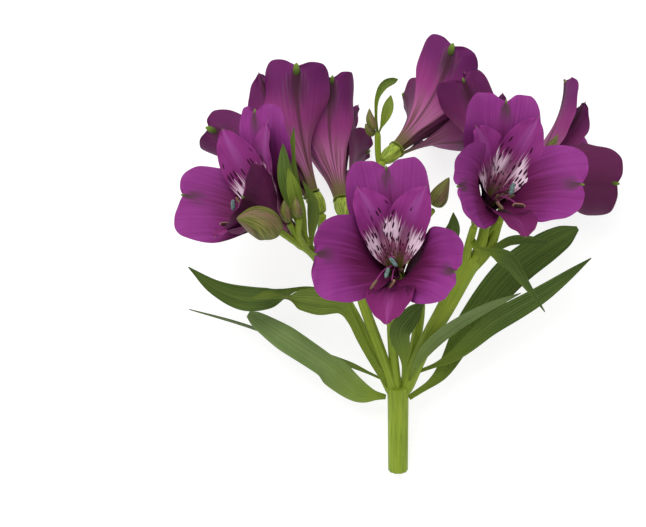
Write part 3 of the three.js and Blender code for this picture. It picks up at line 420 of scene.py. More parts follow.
BUDS = {
    "bud_left_large": dict(path=[[-49.4, 9.2, 75], [-57.9, 13, 84], [-65.6, 13.7, 91]], radius=6.7),
    "bud_left_small": dict(path=[[-44.5, 12.5, 71], [-46, 17.5, 74], [-46.6, 21.5, 75]], radius=2.4),
    "bud_left_upper": dict(
        path=[[-40.2, 14.5, 75.5], [-41.3, 18.5, 78.3], [-41.8, 22.8, 79.5]], radius=2.2),
    "bud_top_pale": dict(path=[[-8.3, 51.9, 47.8], [-10.5, 56, 49.8], [-11, 60.5, 50.3]], radius=2.1),
    "bud_top_dark": dict(path=[[-8.4, 50, 44], [-11, 51.5, 44], [-12.6, 54.5, 44]], radius=1.9),
    "bud_right": dict(path=[[16.5, 19.2, 52], [19, 25, 53.5], [22.4, 31.5, 54]], radius=3.9),
    "bud_far_right": dict(path=[[63, 39.5, 51], [65.5, 44.5, 52], [68, 49.5, 52]], radius=2.4),
}

# ---------------------------------------------------------------- the stem and its rays

MAIN_STEM = dict(route=[[2.1, -94.6, 3.45], [2.0, -81, 9], [1.9, -67.7, 14.4], [1.7, -57.2, 19]],
                 foot=[4.1, 4.1], top=[4.4, 4.2])
RAYS = [
    dict(route=[[0.3, -62, 16], [-9.5, -41.6, 26], [-21.1, -20.1, 34], [-32.6, -4, 42]],
         foot=[2.3, 2.1], top=[2.2, 1.9]),
    dict(route=[[0.9, -62, 17], [-6.1, -41.5, 28], [-13.1, -22.2, 36], [-18.2, -4, 42],
                [-19.9, 5.3, 45]],
         foot=[2.3, 2.1], top=[1.8, 1.7]),
    dict(route=[[1.7, -62, 17], [-0.6, -41.5, 27], [-1.2, -27.7, 38], [0.7, -22, 46]],
         foot=[2.1, 2.0], top=[1.7, 1.7]),
    dict(route=[[3.1, -62, 16], [9, -39.5, 21], [11, -20.2, 25], [7.4, -4, 31], [3.9, 7.5, 36]],
         foot=[2.2, 2.0], top=[1.9, 1.8]),
    dict(route=[[3.8, -62, 17], [13.1, -39.4, 27], [22.2, -22.2, 36], [28.4, -9.5, 42],
                [32.4, -1.5, 45.3]],
         foot=[2.6, 2.1], top=[4.6, 2.6]),
]
PEDICELS = {
    "a": dict(route=[[-32.6, -4, 42], [-35.3, 1.5, 43.5]]),
    "b1": dict(route=[[-32.6, -4, 42], [-31.5, 6, 46]]),
    "b2": dict(route=[[-19.9, 5.3, 45], [-21, 10.5, 46.8]]),
    "c": dict(route=[[0.7, -22, 46], [1.4, -19.5, 50]]),
    "d": dict(route=[[3.9, 7.5, 36], [-3.2, 22.2, 44], [-6.8, 33, 49.5]]),
    "e": dict(route=[[29.5, -8, 43], [30.6, 1.5, 47.5]], foot=1.9),
    "f": dict(route=[[30.8, -8, 42], [39.4, 1.5, 43.5], [43.2, 11.6, 44]], foot=2.8),
    "i": dict(route=[[30, -8, 42.5], [35.6, 1.5, 45.5], [37.9, 11.6, 48]], foot=2.8),
}
BUD_STALKS = [
    [[-32.6, -4, 42], [-36, 0, 51], [-43, 5, 64], [-48.9, 9, 74.4]],
    [[-38, 1.5, 56], [-42, 7.5, 65], [-44.4, 12.1, 70.5]],
    [[-37, 1, 54], [-40.5, 7.5, 66], [-40.1, 14.1, 74.9]],
    [[3.9, 7.5, 36], [-2.9, 24.4, 38], [-6.8, 39.1, 42], [-7.4, 51, 46.5]],
    [[3.9, 7.5, 36], [10.5, 11.6, 46], [16, 18.2, 51.5]],
    [[37, 5, 43], [49, 20, 48.5], [58, 32, 50.5], [62.8, 38.9, 50.9]],
]


# ---------------------------------------------------------------- settings

class TepalSettings(bpy.types.PropertyGroup):
    """Sizes and colours of the tepals."""

    outer_width: FloatProperty(
        name="Outer width", description="Width of an outer tepal laid flat",
        default=0.034, min=0.01, max=0.06, unit="LENGTH")
    inner_width: FloatProperty(
        name="Inner width", description="Width of an inner tepal laid flat",
        default=0.019, min=0.005, max=0.04, unit="LENGTH")
    thickness: FloatProperty(
        name="Thickness", description="Thickness of a tepal at its midrib",
        default=0.0005, min=0.0001, max=0.002, unit="LENGTH")
    ruffle: FloatProperty(
        name="Ruffle", description="Height of the small waves along a tepal's edge",
        default=0.0004, min=0.0, max=0.002, unit="LENGTH")
    rows: IntProperty(name="Rows", description="Grid rows along a tepal", default=56,
                      min=8, max=120)
    columns: IntProperty(name="Columns", description="Grid columns across a tepal", default=36,
                         min=6, max=80)
    purple: FloatVectorProperty(
        name="Purple", description="Colour of the blade inside", subtype="COLOR", size=3,
        min=0, max=1, default=(0.222, 0.026, 0.188))
    magenta: FloatVectorProperty(
        name="Magenta", description="Colour of the blade towards the throat", subtype="COLOR",
        size=3, min=0, max=1, default=(0.214, 0.014, 0.116))
    blotch: FloatVectorProperty(
        name="Blotch", description="Pale blotch of the two upper inner tepals", subtype="COLOR",
        size=3, min=0, max=1, default=(0.82, 0.62, 0.74))


class LeafSettings(bpy.types.PropertyGroup):
    """Sizes and colours of the leaves."""

    thickness: FloatProperty(
        name="Thickness", description="Thickness of a leaf at its midrib",
        default=0.00055, min=0.0001, max=0.002, unit="LENGTH")
    rows: IntProperty(name="Rows", description="Grid rows along a leaf", default=80, min=8, max=160)
    columns: IntProperty(name="Columns", description="Grid columns across a leaf", default=20,
                         min=4, max=60)
    green: FloatVectorProperty(
        name="Green", description="Upper face of a leaf", subtype="COLOR", size=3, min=0, max=1,
        default=(0.054, 0.104, 0.016))
    under_green: FloatVectorProperty(
        name="Under green", description="Under face of a leaf", subtype="COLOR", size=3,
        min=0, max=1, default=(0.13, 0.21, 0.055))


class StemSettings(bpy.types.PropertyGroup):
    """Colour and ridges of the stem and its rays."""

    green: FloatVectorProperty(
        name="Green", description="Colour of the stem", subtype="COLOR", size=3, min=0, max=1,
        default=(0.212, 0.31, 0.024))
    ridge: FloatProperty(
        name="Ridge", description="Height of the stem's ridges as a share of its radius",
        default=0.07, min=0.0, max=0.3, subtype="FACTOR")


class StageSettings(bpy.types.PropertyGroup):
    """Camera and light."""

    camera_x: FloatProperty(name="Camera X", description="Camera place along X", default=-0.03155,
                            unit="LENGTH")
    camera_y: FloatProperty(name="Camera Y", description="Camera place along Y", default=-0.00262,
                            unit="LENGTH")
    camera_height: FloatProperty(name="Camera height", description="Camera height over the surface",
                                 default=1.45, min=0.3, max=5, unit="LENGTH")
    lens: FloatProperty(name="Lens", description="Focal length on a 36 mm sensor, in millimetres",
                        default=185.76, min=20, max=400)
    key_power: FloatProperty(name="Key light", description="Power of the key light", default=13.0,
                             min=0, max=200, unit="POWER")
    sky: FloatProperty(name="Sky", description="Strength of the even light from all sides",
                       default=0.8, min=0, max=5)


# ---------------------------------------------------------------- surfaces

def unit(vectors):
    """The vectors divided by their lengths."""
    return vectors / np.linalg.norm(vectors, axis=-1, keepdims=True)


def smooth(x, low=0.0, high=1.0):
    """0 below low, 1 above high, and the cubic 3t^2 - 2t^3 of the share t between them."""
    t = np.clip((x - low) / (high - low), 0, 1)
    return t * t * (3 - 2 * t)


def bump(x, middle, spread):
    """The bell exp(-((x - middle) / spread)^2)."""
    return np.exp(-((x - middle) / spread) ** 2)


def turned(vectors, axis, degrees):
    """The vectors turned about the unit axes: v cos a + (k x v) sin a + k (k.v)(1 - cos a)."""
    angle = np.radians(degrees)[..., None]
    along = np.sum(vectors * axis, axis=-1, keepdims=True) * axis
    return (vectors * np.cos(angle) + np.cross(axis, vectors) * np.sin(angle)
            + along * (1 - np.cos(angle)))


def through(rows, u):
    """Each column of the rows, read at u from 0 to 1 over their length.

    Between two rows it is the cubic whose slope at a row is the harmonic mean of the steps on its
    two sides, or nothing where the steps turn back, so that it never overshoots.
    """
    y = np.asarray(rows, float)
    step = np.diff(y, axis=0)
    onward = step[:-1] * step[1:] > 0
    total = np.where(onward, step[:-1] + step[1:], 1)
    slope = np.vstack([step[:1], np.where(onward, 2 * step[:-1] * step[1:] / total, 0), step[-1:]])
    spot = np.clip(u, 0, 1) * (len(y) - 1)
    k = np.minimum(spot.astype(int), len(y) - 2)
    t = (spot - k)[..., None]
    return (y[k] * (1 + 2 * t) * (1 - t) ** 2 + slope[k] * t * (1 - t) ** 2
            + y[k + 1] * t * t * (3 - 2 * t) + slope[k + 1] * t * t * (t - 1))


def curve_at(points, t):
    """Points of a centripetal Catmull-Rom curve at t from 0 to 1, counted evenly over its spans.

    Each span is the cubic between two points with the slopes of the uneven-knot formula, whose
    knots are spaced by the square root of the distance. The end points are mirrored outwards.
    """
    p = np.asarray(points, float)
    p = np.vstack([2 * p[0] - p[1], p, 2 * p[-1] - p[-2]])
    spot = np.clip(t, 0, 1) * (len(points) - 1)
    k = np.minimum(spot.astype(int), len(points) - 2)
    w = (spot - k)[..., None]
    p0, p1, p2, p3 = p[k], p[k + 1], p[k + 2], p[k + 3]
    d0, d1, d2 = (np.sqrt(np.linalg.norm(b - a, axis=-1, keepdims=True))
                  for a, b in ((p0, p1), (p1, p2), (p2, p3)))
    s1 = ((p1 - p0) / d0 - (p2 - p0) / (d0 + d1) + (p2 - p1) / d1) * d1
    s2 = ((p2 - p1) / d1 - (p3 - p1) / (d1 + d2) + (p3 - p2) / d2) * d1
    return (p1 * (1 + 2 * w) * (1 - w) ** 2 + s1 * w * (1 - w) ** 2
            + p2 * w * w * (3 - 2 * w) + s2 * w * w * (w - 1))


def frames(points, t, roll=0.0, upright=UP):
    """Point, side and up of a curve at t: side is square to the curve and to upright, then rolled."""
    near = 1e-3
    point = curve_at(points, t)
    before = curve_at(points, np.maximum(t - near, 0))
    tangent = unit(curve_at(points, np.minimum(t + near, 1)) - before)
    side = unit(np.cross(upright, tangent))
    side = turned(side, tangent, np.broadcast_to(roll, t.shape))
    return point, side, np.cross(tangent, side)


def grid_quads(rows, columns, wrap=False):
    """Corner numbers of the quads of a grid of points, closed round its columns if wrap is true."""
    index = np.arange(rows * columns).reshape(rows, columns)
    if wrap:
        index = np.hstack([index, index[:, :1]])
    corners = [index[:-1, :-1], index[1:, :-1], index[1:, 1:], index[:-1, 1:]]
    return np.stack(corners, -1).reshape(-1, 4)


NO_CAPS = np.zeros((0, 3), int)


class Piece:
    """Surfaces gathered into one mesh object, with the numbers that its material reads."""

    def __init__(self, name):
        self.name = name
        self.points = []
        self.faces = []
        self.values = []
        self.inner = []
        self.count = 0

    def add(self, points, quads, inner, caps=NO_CAPS, **values):
        """Adds points, their quads, and the triangles that cap a tube. Inner is 1 for a quad on the
        inner or upper face and 0 for one on the back. Each other value is one number, or one for
        each point."""
        self.points.append(points)
        self.faces += (quads + self.count).tolist() + (caps + self.count).tolist()
        self.values.append({k: np.broadcast_to(v, len(points)) for k, v in values.items()})
        self.inner += [np.broadcast_to(inner, len(quads)), np.ones(len(caps))]
        self.count += len(points)

    def build(self, material, node):
        """Makes the object, which rides on the body and stands for the named node."""
        mesh = bpy.data.meshes.new(self.name)
        place = (np.vstack(self.points) + PLACE) * MILLIMETRE
        place[:, 2] = np.maximum(place[:, 2], SURFACE_CLEARANCE * MILLIMETRE)
        mesh.from_pydata(place.tolist(), [], self.faces)
        for name in self.values[0]:
            numbers = np.concatenate([part[name] for part in self.values]).astype(np.float32)
            mesh.attributes.new(name, "FLOAT", "POINT").data.foreach_set("value", numbers)
        inner = np.concatenate(self.inner).astype(np.float32)
        mesh.attributes.new("inner", "FLOAT", "FACE").data.foreach_set("value", inner)
        mesh.polygons.foreach_set("use_smooth", np.ones(len(mesh.polygons), bool))
        mesh.set_sharp_from_angle(angle=np.radians(SHARP_ANGLE))
        mesh.materials.append(material)
        made = bpy.data.objects.new(self.name, mesh)
        bpy.context.scene.collection.objects.link(made)
        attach(made, BODY)
        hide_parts(node)
        return made


def add_sheet(piece, points, half, **values):
    """A thin closed sheet round a grid of points.

    One face lies half the thickness along the normals, which are along x across, and the other as
    far behind. Both share the border, where the thickness is nothing.
    """
    rows, columns = points.shape[:2]
    normal = unit(np.cross(np.gradient(points, axis=0), np.gradient(points, axis=1)))
    border = np.ones((rows, columns), bool)
    border[1:-1, 1:-1] = False
    lift = normal * np.where(border, 0, half)[..., None]
    back = np.arange(rows * columns)
    inside = ~border.ravel()
    back[inside] = rows * columns + np.arange(inside.sum())
    quads = grid_quads(rows, columns)
    both = np.vstack([(points + lift).reshape(-1, 3), (points - lift).reshape(-1, 3)[inside]])
    spread = {k: np.broadcast_to(v, (rows, columns)).ravel() for k, v in values.items()}
    spread = {k: np.concatenate([v, v[inside]]) for k, v in spread.items()}
    faces = np.vstack([quads, back[quads[:, ::-1]]])
    inner = np.repeat([1.0, 0.0], len(quads))
    piece.add(both, faces, inner, **spread)


def add_tube(piece, path, radii, sides=20, steps=24, lobes=0, ridge=0.0, twist=0.0, upright=UP,
             dome=0.06, relief=None, **values):
    """A closed tube round a curve.

    Its half width and half depth at t are radii(t), times 1 + ridge cos(lobes angle) and times
    relief(t, angle). Over the last dome of each end the radius falls as a quarter circle.
    """
    ends = dome * (1 - np.cos(np.linspace(0, np.pi / 2, 5)))
    middle = np.linspace(dome, 1 - dome, steps + 1)[1:-1]
    t = np.concatenate([ends[1:], middle, 1 - ends[:0:-1]])
    point, side, up = frames(path, t, upright=upright)
    wide, deep = radii(t)
    near = np.minimum(np.minimum(t, 1 - t) / dome, 1)
    close = np.sqrt(np.clip(1 - (1 - near) ** 2, 0.01, 1))
    angle = np.arange(sides) / sides * 2 * np.pi
    swell = close[:, None] * (1 + ridge * np.cos(lobes * angle))[None, :]
    if relief is not None:
        swell = swell * relief(t[:, None], angle[None, :])
    spun = angle[None, :] + np.radians(twist) * t[:, None]
    sideways = np.cos(spun) * np.reshape(wide, (-1, 1)) * swell
    upwards = np.sin(spun) * np.reshape(deep, (-1, 1)) * swell
    ring = point[:, None] + side[:, None] * sideways[..., None] + up[:, None] * upwards[..., None]
    rows = len(t)
    poles = np.array([curve_at(path, np.array([0.0]))[0], curve_at(path, np.array([1.0]))[0]])
    points = np.vstack([ring.reshape(-1, 3), poles])
    turn = np.arange(sides)
    onward = (turn + 1) % sides
    last = (rows - 1) * sides
    first_pole = np.full(sides, rows * sides)
    caps = np.vstack([np.stack([first_pole, onward, turn], 1),
                      np.stack([first_pole + 1, last + turn, last + onward], 1)])
    along = np.concatenate([np.repeat(t, sides), [0, 1]])
    around = np.concatenate([np.tile(angle / (2 * np.pi), rows), [0, 0]])
    piece.add(points, grid_quads(rows, sides, wrap=True)[:, ::-1], 1.0, caps,
              along=along, across=around, **values)


def tapered(foot, top):
    """Half width and half depth that go evenly from foot to top."""
    return lambda t: (foot[0] + (top[0] - foot[0]) * t, foot[1] + (top[1] - foot[1]) * t)


def even(radius):
    """Half width and half depth that are the same all along."""
    return tapered([radius, radius], [radius, radius])


# ---------------------------------------------------------------- the tepals

def bloom_axes(bloom):
    """Base, unit axis and the unit direction of tepal 0 of a bloom."""
    axis = unit(np.array(bloom["axis"], float))
    first = np.array(bloom["first"], float)
    return np.array(bloom["base"], float), axis, unit(first - axis * (first @ axis))


def tepal_chord(bloom, index):
    """The vector from the base of a bloom to the tip of one of its tepals."""
    own = bloom["tepals"][index]
    if "to" in own:
        return np.array(own["to"], float)
    _, axis, first = bloom_axes(bloom)
    lean = np.radians(own["lean"])
    outward = turned(first, axis, np.array(60.0 * index))
    return LEANING_LENGTH * (axis * np.cos(lean) + outward * np.sin(lean))


def blade_outline(outer, is_open):
    """The outline of a tepal of one kind."""
    if is_open:
        return OPEN_OUTER_OUTLINE if outer else OPEN_INNER_OUTLINE
    return OUTER_OUTLINE if outer else INNER_OUTLINE


def tepal_points(bloom, index, settings, u, v):
    """One tepal as a surface of u, from base to tip, and v, from edge to edge.

    The midrib starts on a ring round the base and is an arc whose lean from the axis grows evenly,
    so that its chord has the asked direction. Across, the tepal is an arc: at the claw its radius
    is that of a cone round the axis, and on the blade one of its own. The half width is that of the
    outline, less a bell at the waist, and skew adds its part of v squared to v. The notch scales how
    far the edge reaches past the midrib, shear slides the edges against one another, and bow bends
    the blade sideways by half a sine wave. The blade may roll about its midrib. Its edges wave
    slowly and ruffle finely, and the midrib is a shallow groove.

    Gives the points, each one's share of the midrib's length, and its place across, counted by
    lines that spread from the claw.
    """
    base, axis, _ = bloom_axes(bloom)
    own = bloom["tepals"][index]
    outer = index % 2 == 0
    is_open = own.get("open", bloom.get("open"))
    chord = tepal_chord(bloom, index)
    width = (settings.outer_width if outer else settings.inner_width) / MILLIMETRE
    width = width * bloom.get("wide", 1) * own.get("wide", 1)
    cup = bloom.get("cup", OPEN_CUP) * (1 if outer else INNER_CUP)
    throat = THROAT_OUTER if outer else THROAT_INNER
    wave = OUTER_WAVE if outer else INNER_WAVE

    lean = np.arccos(np.clip(unit(chord) @ axis, -1, 1))
    outward = unit(chord - axis * (chord @ axis))
    sideways = unit(np.cross(axis, outward))
    flare = np.radians(own.get("flare", bloom.get("flare", OPEN_FLARE)))
    bend = np.clip(flare, LEAST_BEND, max(lean, LEAST_LEAN))
    length = np.linalg.norm(chord) * bend / np.sin(bend)

    half_share, edge, rib = np.moveaxis(through(blade_outline(outer, is_open), u), -1, 0)
    half = width / 2 * half_share * (1 - own.get("waist", 0) * bump(rib, WAIST, WAIST_SPREAD))
    y = length * (rib + own.get("notch", 1) * (edge - rib) * v * v
                  + own.get("shear", 0) * v * half_share * smooth(rib, *SHEARED))
    along = y / length
    rate = 2 * bend / length
    start = lean - bend
    angle = lean + bend * (2 * along - 1)
    out = (np.cos(start) - np.cos(angle)) / rate
    forth = (np.sin(angle) - np.sin(start)) / rate

    open_share = smooth(along, *(OPEN_SPREAD if is_open else SPREAD))
    cone = np.maximum(np.cos(angle), LEAST_CONE) / (throat + out)
    curve = cone + (1 / cup - cone) * open_share
    x = half * (v + own.get("skew", 0) * open_share * v * v)
    ruffle = (settings.ruffle / MILLIMETRE * np.abs(v) ** 3
              * np.sin(RUFFLE_ALONG * u + RUFFLE_ACROSS * v + RUFFLE_STEP * index + chord[0]))
    slow = wave * v * v * np.sin(WAVE_ALONG * u + WAVE_ACROSS * v + chord[0])
    groove = -GROOVE_DEPTH * bump(x, 0, GROOVE_SPREAD)
    rise = (1 - np.cos(curve * x)) / curve + (slow + ruffle + groove) * open_share
    lateral = np.sin(curve * x) / curve
    tilt = np.radians(own.get("roll", 0)) * open_share
    across = (lateral * np.cos(tilt) - rise * np.sin(tilt)
              + own.get("bow", 0) * np.sin(np.pi * np.clip(along, 0, 1)))
    inward = lateral * np.sin(tilt) + rise * np.cos(tilt)
    points = (base + outward * (throat + out - inward * np.cos(angle))[..., None]
              + axis * (CLAW_FOOT + forth + inward * np.sin(angle))[..., None]
              + sideways * across[..., None])
    fan = x / (width / 2) / (FAN_FOOT + (1 - FAN_FOOT) * along)
    return points, along, fan


def add_point(piece, points, size, **values):
    """The small fleshy point at a tepal's tip: a drop as long as a few of its half widths, whose
    half width is a parabola of the way along it, set into the end of the midrib."""
    rib = points[:, points.shape[1] // 2]
    across = unit(points[-3, -1] - points[-3, 0])
    tip = rib[-1]
    ahead = unit(tip - rib[-8])
    path = [tip - ahead * 2.4 * size, tip - ahead * 0.8 * size, tip + ahead * size ** 0.5]
    add_tube(piece, path,
             lambda t: (size * (0.7 + 0.8 * t - 1.1 * t * t), size * (0.45 + 0.4 * t - 0.6 * t * t)),
             sides=14, steps=8, dome=0.3, upright=np.cross(ahead, across), **values)


def make_tepals(name, bloom, settings, material):
    """The six tepals of a bloom, each a thin sheet with a small point, on their common disc."""
    piece = Piece(f"{name}_fine")
    base, axis, first = bloom_axes(bloom)
    u = np.linspace(0, 1, settings.rows + 1)[:, None]
    v = np.linspace(-1, 1, settings.columns + 1)[None, :]
    u, v = np.broadcast_arrays(u, v)
    thinning = EDGE_THICKNESS + (1 - EDGE_THICKNESS) * bump(v, 0, 0.3)
    half = settings.thickness / MILLIMETRE / 2 * thinning
    draw = np.random.default_rng(int(abs(base).sum() * 10))
    for index, own in bloom["tepals"].items():
        outer = index % 2 == 0
        points, along, fan = tepal_points(bloom, index, settings, u, v)
        kind = OUTER if outer else (LOWER_INNER if index == 3 else UPPER_INNER)
        chance = draw.random()
        # The dark share lays painted shade over a tepal that lies in shadow.
        dark = own.get("dark", 0)
        add_sheet(piece, points, half, along=along, across=v, fan=fan, kind=kind, chance=chance,
                  dark=dark)
        size = own.get("point", 1) * (OUTER_POINT if outer else INNER_POINT)
        add_point(piece, points, size, fan=0, kind=OUTER_TIP if outer else INNER_TIP,
                  chance=chance, dark=dark)
    add_tube(piece, [base, base + axis * DISC_HEIGHT], even(DISC_RADIUS), sides=36, steps=3,
             dome=0.2, upright=first, fan=0, kind=DISC, chance=0.5, dark=0)
    return piece.build(material, name)


# ---------------------------------------------------------------- the stamens

def stamen_path(bloom, index, t):
    """Points along stamen index of a bloom, or along its style, which is number 0.

    Where its anther has no place of its own, it goes out along the axis, spreads a little from its
    fellows, and sags to the lower side with the square of t. Otherwise it is the curve
    (1-t)^2 start + 2t(1-t) bow + t^2 end, whose bow lies on the axis side.
    """
    base, axis, first = bloom_axes(bloom)
    part, lean = STAMENS[index]
    reach = bloom["stamen_length"] * part
    sag = STAMEN_SAG * reach * np.tan(np.radians(bloom["stamen_lean"] * lean))
    outward = turned(-first, axis, np.array(60.0 * index))
    ring = 0 if index == 0 else STAMEN_RING
    apart = 0 if index == 0 else STAMEN_SPREAD
    t = t[:, None]
    if index and "anthers" in bloom:
        start = base + axis * STAMEN_START + outward * ring
        end = base + np.array(bloom["anthers"][index - 1][0], float)
        bow = start + axis * (STAMEN_BOW * np.linalg.norm(end - start))
        return start * (1 - t) ** 2 + bow * (2 * t * (1 - t)) + end * t * t
    return (base + axis * (STAMEN_START + t * reach) + outward * (ring + apart * t * reach)
            - first * (sag * t * t))


def add_stigma(piece, end, ahead, upright):
    """Three short arms that part from the end of a style."""
    for arm in range(3):
        aside = turned(np.cross(ahead, upright), ahead, np.array(120.0 * arm))
        path = [end - ahead * 0.4, end + ahead * 0.9 + aside * 0.3, end + ahead * 1.6 + aside * 1.5]
        add_tube(piece, path, tapered(*STIGMA_RADII), sides=8, steps=8, upright=upright,
                 kind=FILAMENT)


def slits(t, angle):
    """Full round an anther, less a bell on each of its two sides."""
    return 1 - SLIT * bump(np.cos(angle), 1, 0.18) - SLIT * bump(np.cos(angle), -1, 0.18)


def add_anther(piece, end, ahead, size, held, kind, upright):
    """A ripe anther held at one share of its length. Both its radii are a constant plus a parabola
    of t."""
    long = ANTHER_LENGTH * size
    path = [end + ahead * (long * share) for share in (-held, 0.5 - held, 1 - held)]
    thick = size * (SLIM if kind == OLIVE else 1)
    add_tube(piece, path,
             lambda t: (thick * (0.75 + 0.9 * t * (1 - t)), thick * (0.6 + 0.7 * t * (1 - t))),
             sides=24, steps=20, dome=0.25, upright=upright, relief=slits, kind=kind)


def make_stamens(name, bloom, material):
    """Six filaments with ripe anthers and a style with a three-armed stigma, on one small foot."""
    piece = Piece(f"{name}_fine")
    base, axis, first = bloom_axes(bloom)
    upright = np.cross(axis, -first)
    size = bloom.get("anther", SMALL_ANTHER)
    for index in range(len(STAMENS)):
        placed = index > 0 and "anthers" in bloom
        whole = 1.0 if placed else UNPLACED_END
        rod = stamen_path(bloom, index, np.linspace(0, whole, 8))
        add_tube(piece, rod, tapered(*FILAMENT_RADII), sides=10, steps=20, upright=upright,
                 kind=FILAMENT)
        end, beyond = stamen_path(bloom, index, np.array([whole, 1.0]))
        if placed:
            _, way, kind = bloom["anthers"][index - 1]
            add_anther(piece, end, unit(np.array(way, float)), size, 0.5, kind, upright)
        elif index:
            add_anther(piece, end, unit(beyond - end), size, 0.15, OLIVE, upright)
        else:
            add_stigma(piece, end, unit(beyond - end), upright)
    low = DISC_HEIGHT + SEAT_GAP
    add_tube(piece, [base + axis * low, base + axis * (low + STAMEN_FOOT_HEIGHT)],
             even(STAMEN_FOOT_RADIUS), sides=20, steps=3, dome=0.2, upright=first, kind=FILAMENT)
    return piece.build(material, name)


# ---------------------------------------------------------------- leaves and buds

def leaf_points(leaf, u, v):
    """A leaf as a surface of u along it and v across it: a curve carries a width profile that is
    rolled about the curve, folded up along the midrib, and waved at its edges."""
    half_share, reach = np.moveaxis(through(leaf.get("outline", LEAF_OUTLINE), u[:, 0]), -1, 0)
    rolls = np.array(leaf["roll"], float)
    spot = reach * (len(rolls) - 1)
    k = np.minimum(spot.astype(int), len(rolls) - 2)
    roll = rolls[k] + (rolls[k + 1] - rolls[k]) * smooth(spot - k)
    point, side, up = frames(leaf["path"], reach, roll)
    half = (leaf["width"] / 2 * half_share)[:, None]
    fold = np.radians(leaf["fold"])
    phase = leaf["path"][0][1]
    bent = np.sqrt(v * v + FOLD_SOFTNESS) - np.sqrt(FOLD_SOFTNESS)
    wave = leaf["wave"] * v * v * np.sin(LEAF_WAVE_ALONG * u + LEAF_WAVE_ACROSS * v + phase)
    lift = bent * half * np.sin(fold) + wave * half_share[:, None]
    across = v * half * np.cos(fold)
    return point[:, None] + side[:, None] * across[..., None] + up[:, None] * lift[..., None]


def make_leaf(name, leaf, settings, material):
    """One leaf or bract as a thin closed sheet."""
    piece = Piece(f"{name}_fine")
    under = leaf.get("under", False)
    u, v = np.broadcast_arrays(np.linspace(0, 1, settings.rows + 1)[:, None],
                               np.linspace(-1, 1, settings.columns + 1)[None, :])
    thinning = LEAF_EDGE_THICKNESS + (1 - LEAF_EDGE_THICKNESS) * bump(v, 0, 0.35)
    half = settings.thickness / MILLIMETRE / 2 * thinning
    add_sheet(piece, leaf_points(leaf, u, v), half, along=u, across=v, kind=1 if under else 0,
              chance=(leaf["width"] * 7.3) % 1, light=leaf.get("light", 0))
    return piece.build(material, name)


def bud_radius(bud, t):
    """The bud's radius at t: its greatest one times sin(pi (0.12 + 0.85 t)^0.75), which rises early,
    and never less than its blunt tip."""
    return bud["radius"] * np.maximum(BUD_TIP, np.sin(np.pi * (0.12 + 0.85 * t) ** BUD_BLUNTNESS))


def make_bud(name, bud, material):
    """A bud: a drop whose three outer tepals overlap, each edge a small step that winds round it."""
    piece = Piece(f"{name}_fine")

    def relief(t, angle):
        """Grows round each third of the turn and drops back at its end."""
        share = (3 * angle / (2 * np.pi)) % 1
        return 0.95 + 0.1 * share * smooth(t, 0.02, 0.3) + 0.02 * np.cos(3 * angle * 2)

    add_tube(piece, bud["path"], lambda t: (bud_radius(bud, t), bud_radius(bud, t)), sides=60,
             steps=40, twist=50, dome=0.08, relief=relief, chance=(bud["radius"] * 3.7) % 1)
    return piece.build(material, name)


# ---------------------------------------------------------------- the stem

def make_stem(settings, material):
    """The cut stem, its rays, the pedicels, the ovaries and the stalks of the buds."""
    piece = Piece("stem_fine")
    ridge = settings.ridge
    add_tube(piece, MAIN_STEM["route"], tapered(MAIN_STEM["foot"], MAIN_STEM["top"]), sides=60,
             steps=40, lobes=10, ridge=ridge * 0.6, dome=0.012, kind=STALK, chance=0.3)
    for number, ray in enumerate(RAYS):
        add_tube(piece, ray["route"], tapered(ray["foot"], ray["top"]), sides=40, steps=60, lobes=6,
                 ridge=ridge, kind=STALK, chance=0.15 * number)
    for name, pedicel in PEDICELS.items():
        add_pedicel(piece, BLOOMS[name], pedicel, ridge)
    for route in BUD_STALKS:
        add_tube(piece, route, even(BUD_STALK_RADIUS), sides=20, steps=30, lobes=5, ridge=ridge,
                 kind=STALK, chance=0.8)
    return piece.build(material, "stem")


def add_pedicel(piece, bloom, pedicel, ridge):
    """The stalk under a bloom and its ovary, whose radius at t is 0.45 of the full one plus 0.55
    sin(0.72 pi t), held at its greatest once it is reached."""
    base, axis, first = bloom_axes(bloom)
    foot = base - axis * (OVARY_LENGTH + SEAT_GAP)
    top = base - axis * SEAT_GAP
    thick = pedicel.get("foot", PEDICEL_RADIUS)
    add_tube(piece, pedicel["route"] + [foot.tolist()], tapered([thick] * 2, [PEDICEL_RADIUS] * 2),
             sides=30, steps=30, lobes=5, ridge=ridge, kind=STALK, chance=0.4)

    def swell(t):
        """Half width and half depth of the ovary."""
        radius = OVARY_RADIUS * (0.45 + 0.55 * np.sin(np.pi * np.minimum(t * 0.72, 0.5)))
        return radius, radius

    add_tube(piece, [foot, (foot + top) / 2, top], swell, sides=48, steps=24, lobes=6, ridge=0.08,
             dome=0.05, upright=first, kind=OVARY, chance=0.6)


# ---------------------------------------------------------------- materials

def colour(red, green, blue):
    """A colour given as 0 to 255 for a screen, as linear RGBA: ((c + 0.055) / 1.055)^2.4."""
    c = np.array([red, green, blue]) / 255
    return (*np.where(c <= 0.04045, c / 12.92, ((c + 0.055) / 1.055) ** 2.4).tolist(), 1.0)


FULL_TURN = 6.2832
LIGHT_PURPLE = colour(148, 64, 140)
WINE = colour(80, 20, 58)
# SHADE is the colour of painted shade, laid over tepals that lie in shadow.
SHADE = colour(82, 28, 62)
MARK = colour(46, 10, 34)
OLIVE_GREY = colour(66, 50, 48)
WHITE = (1.0, 1.0, 1.0, 1.0)


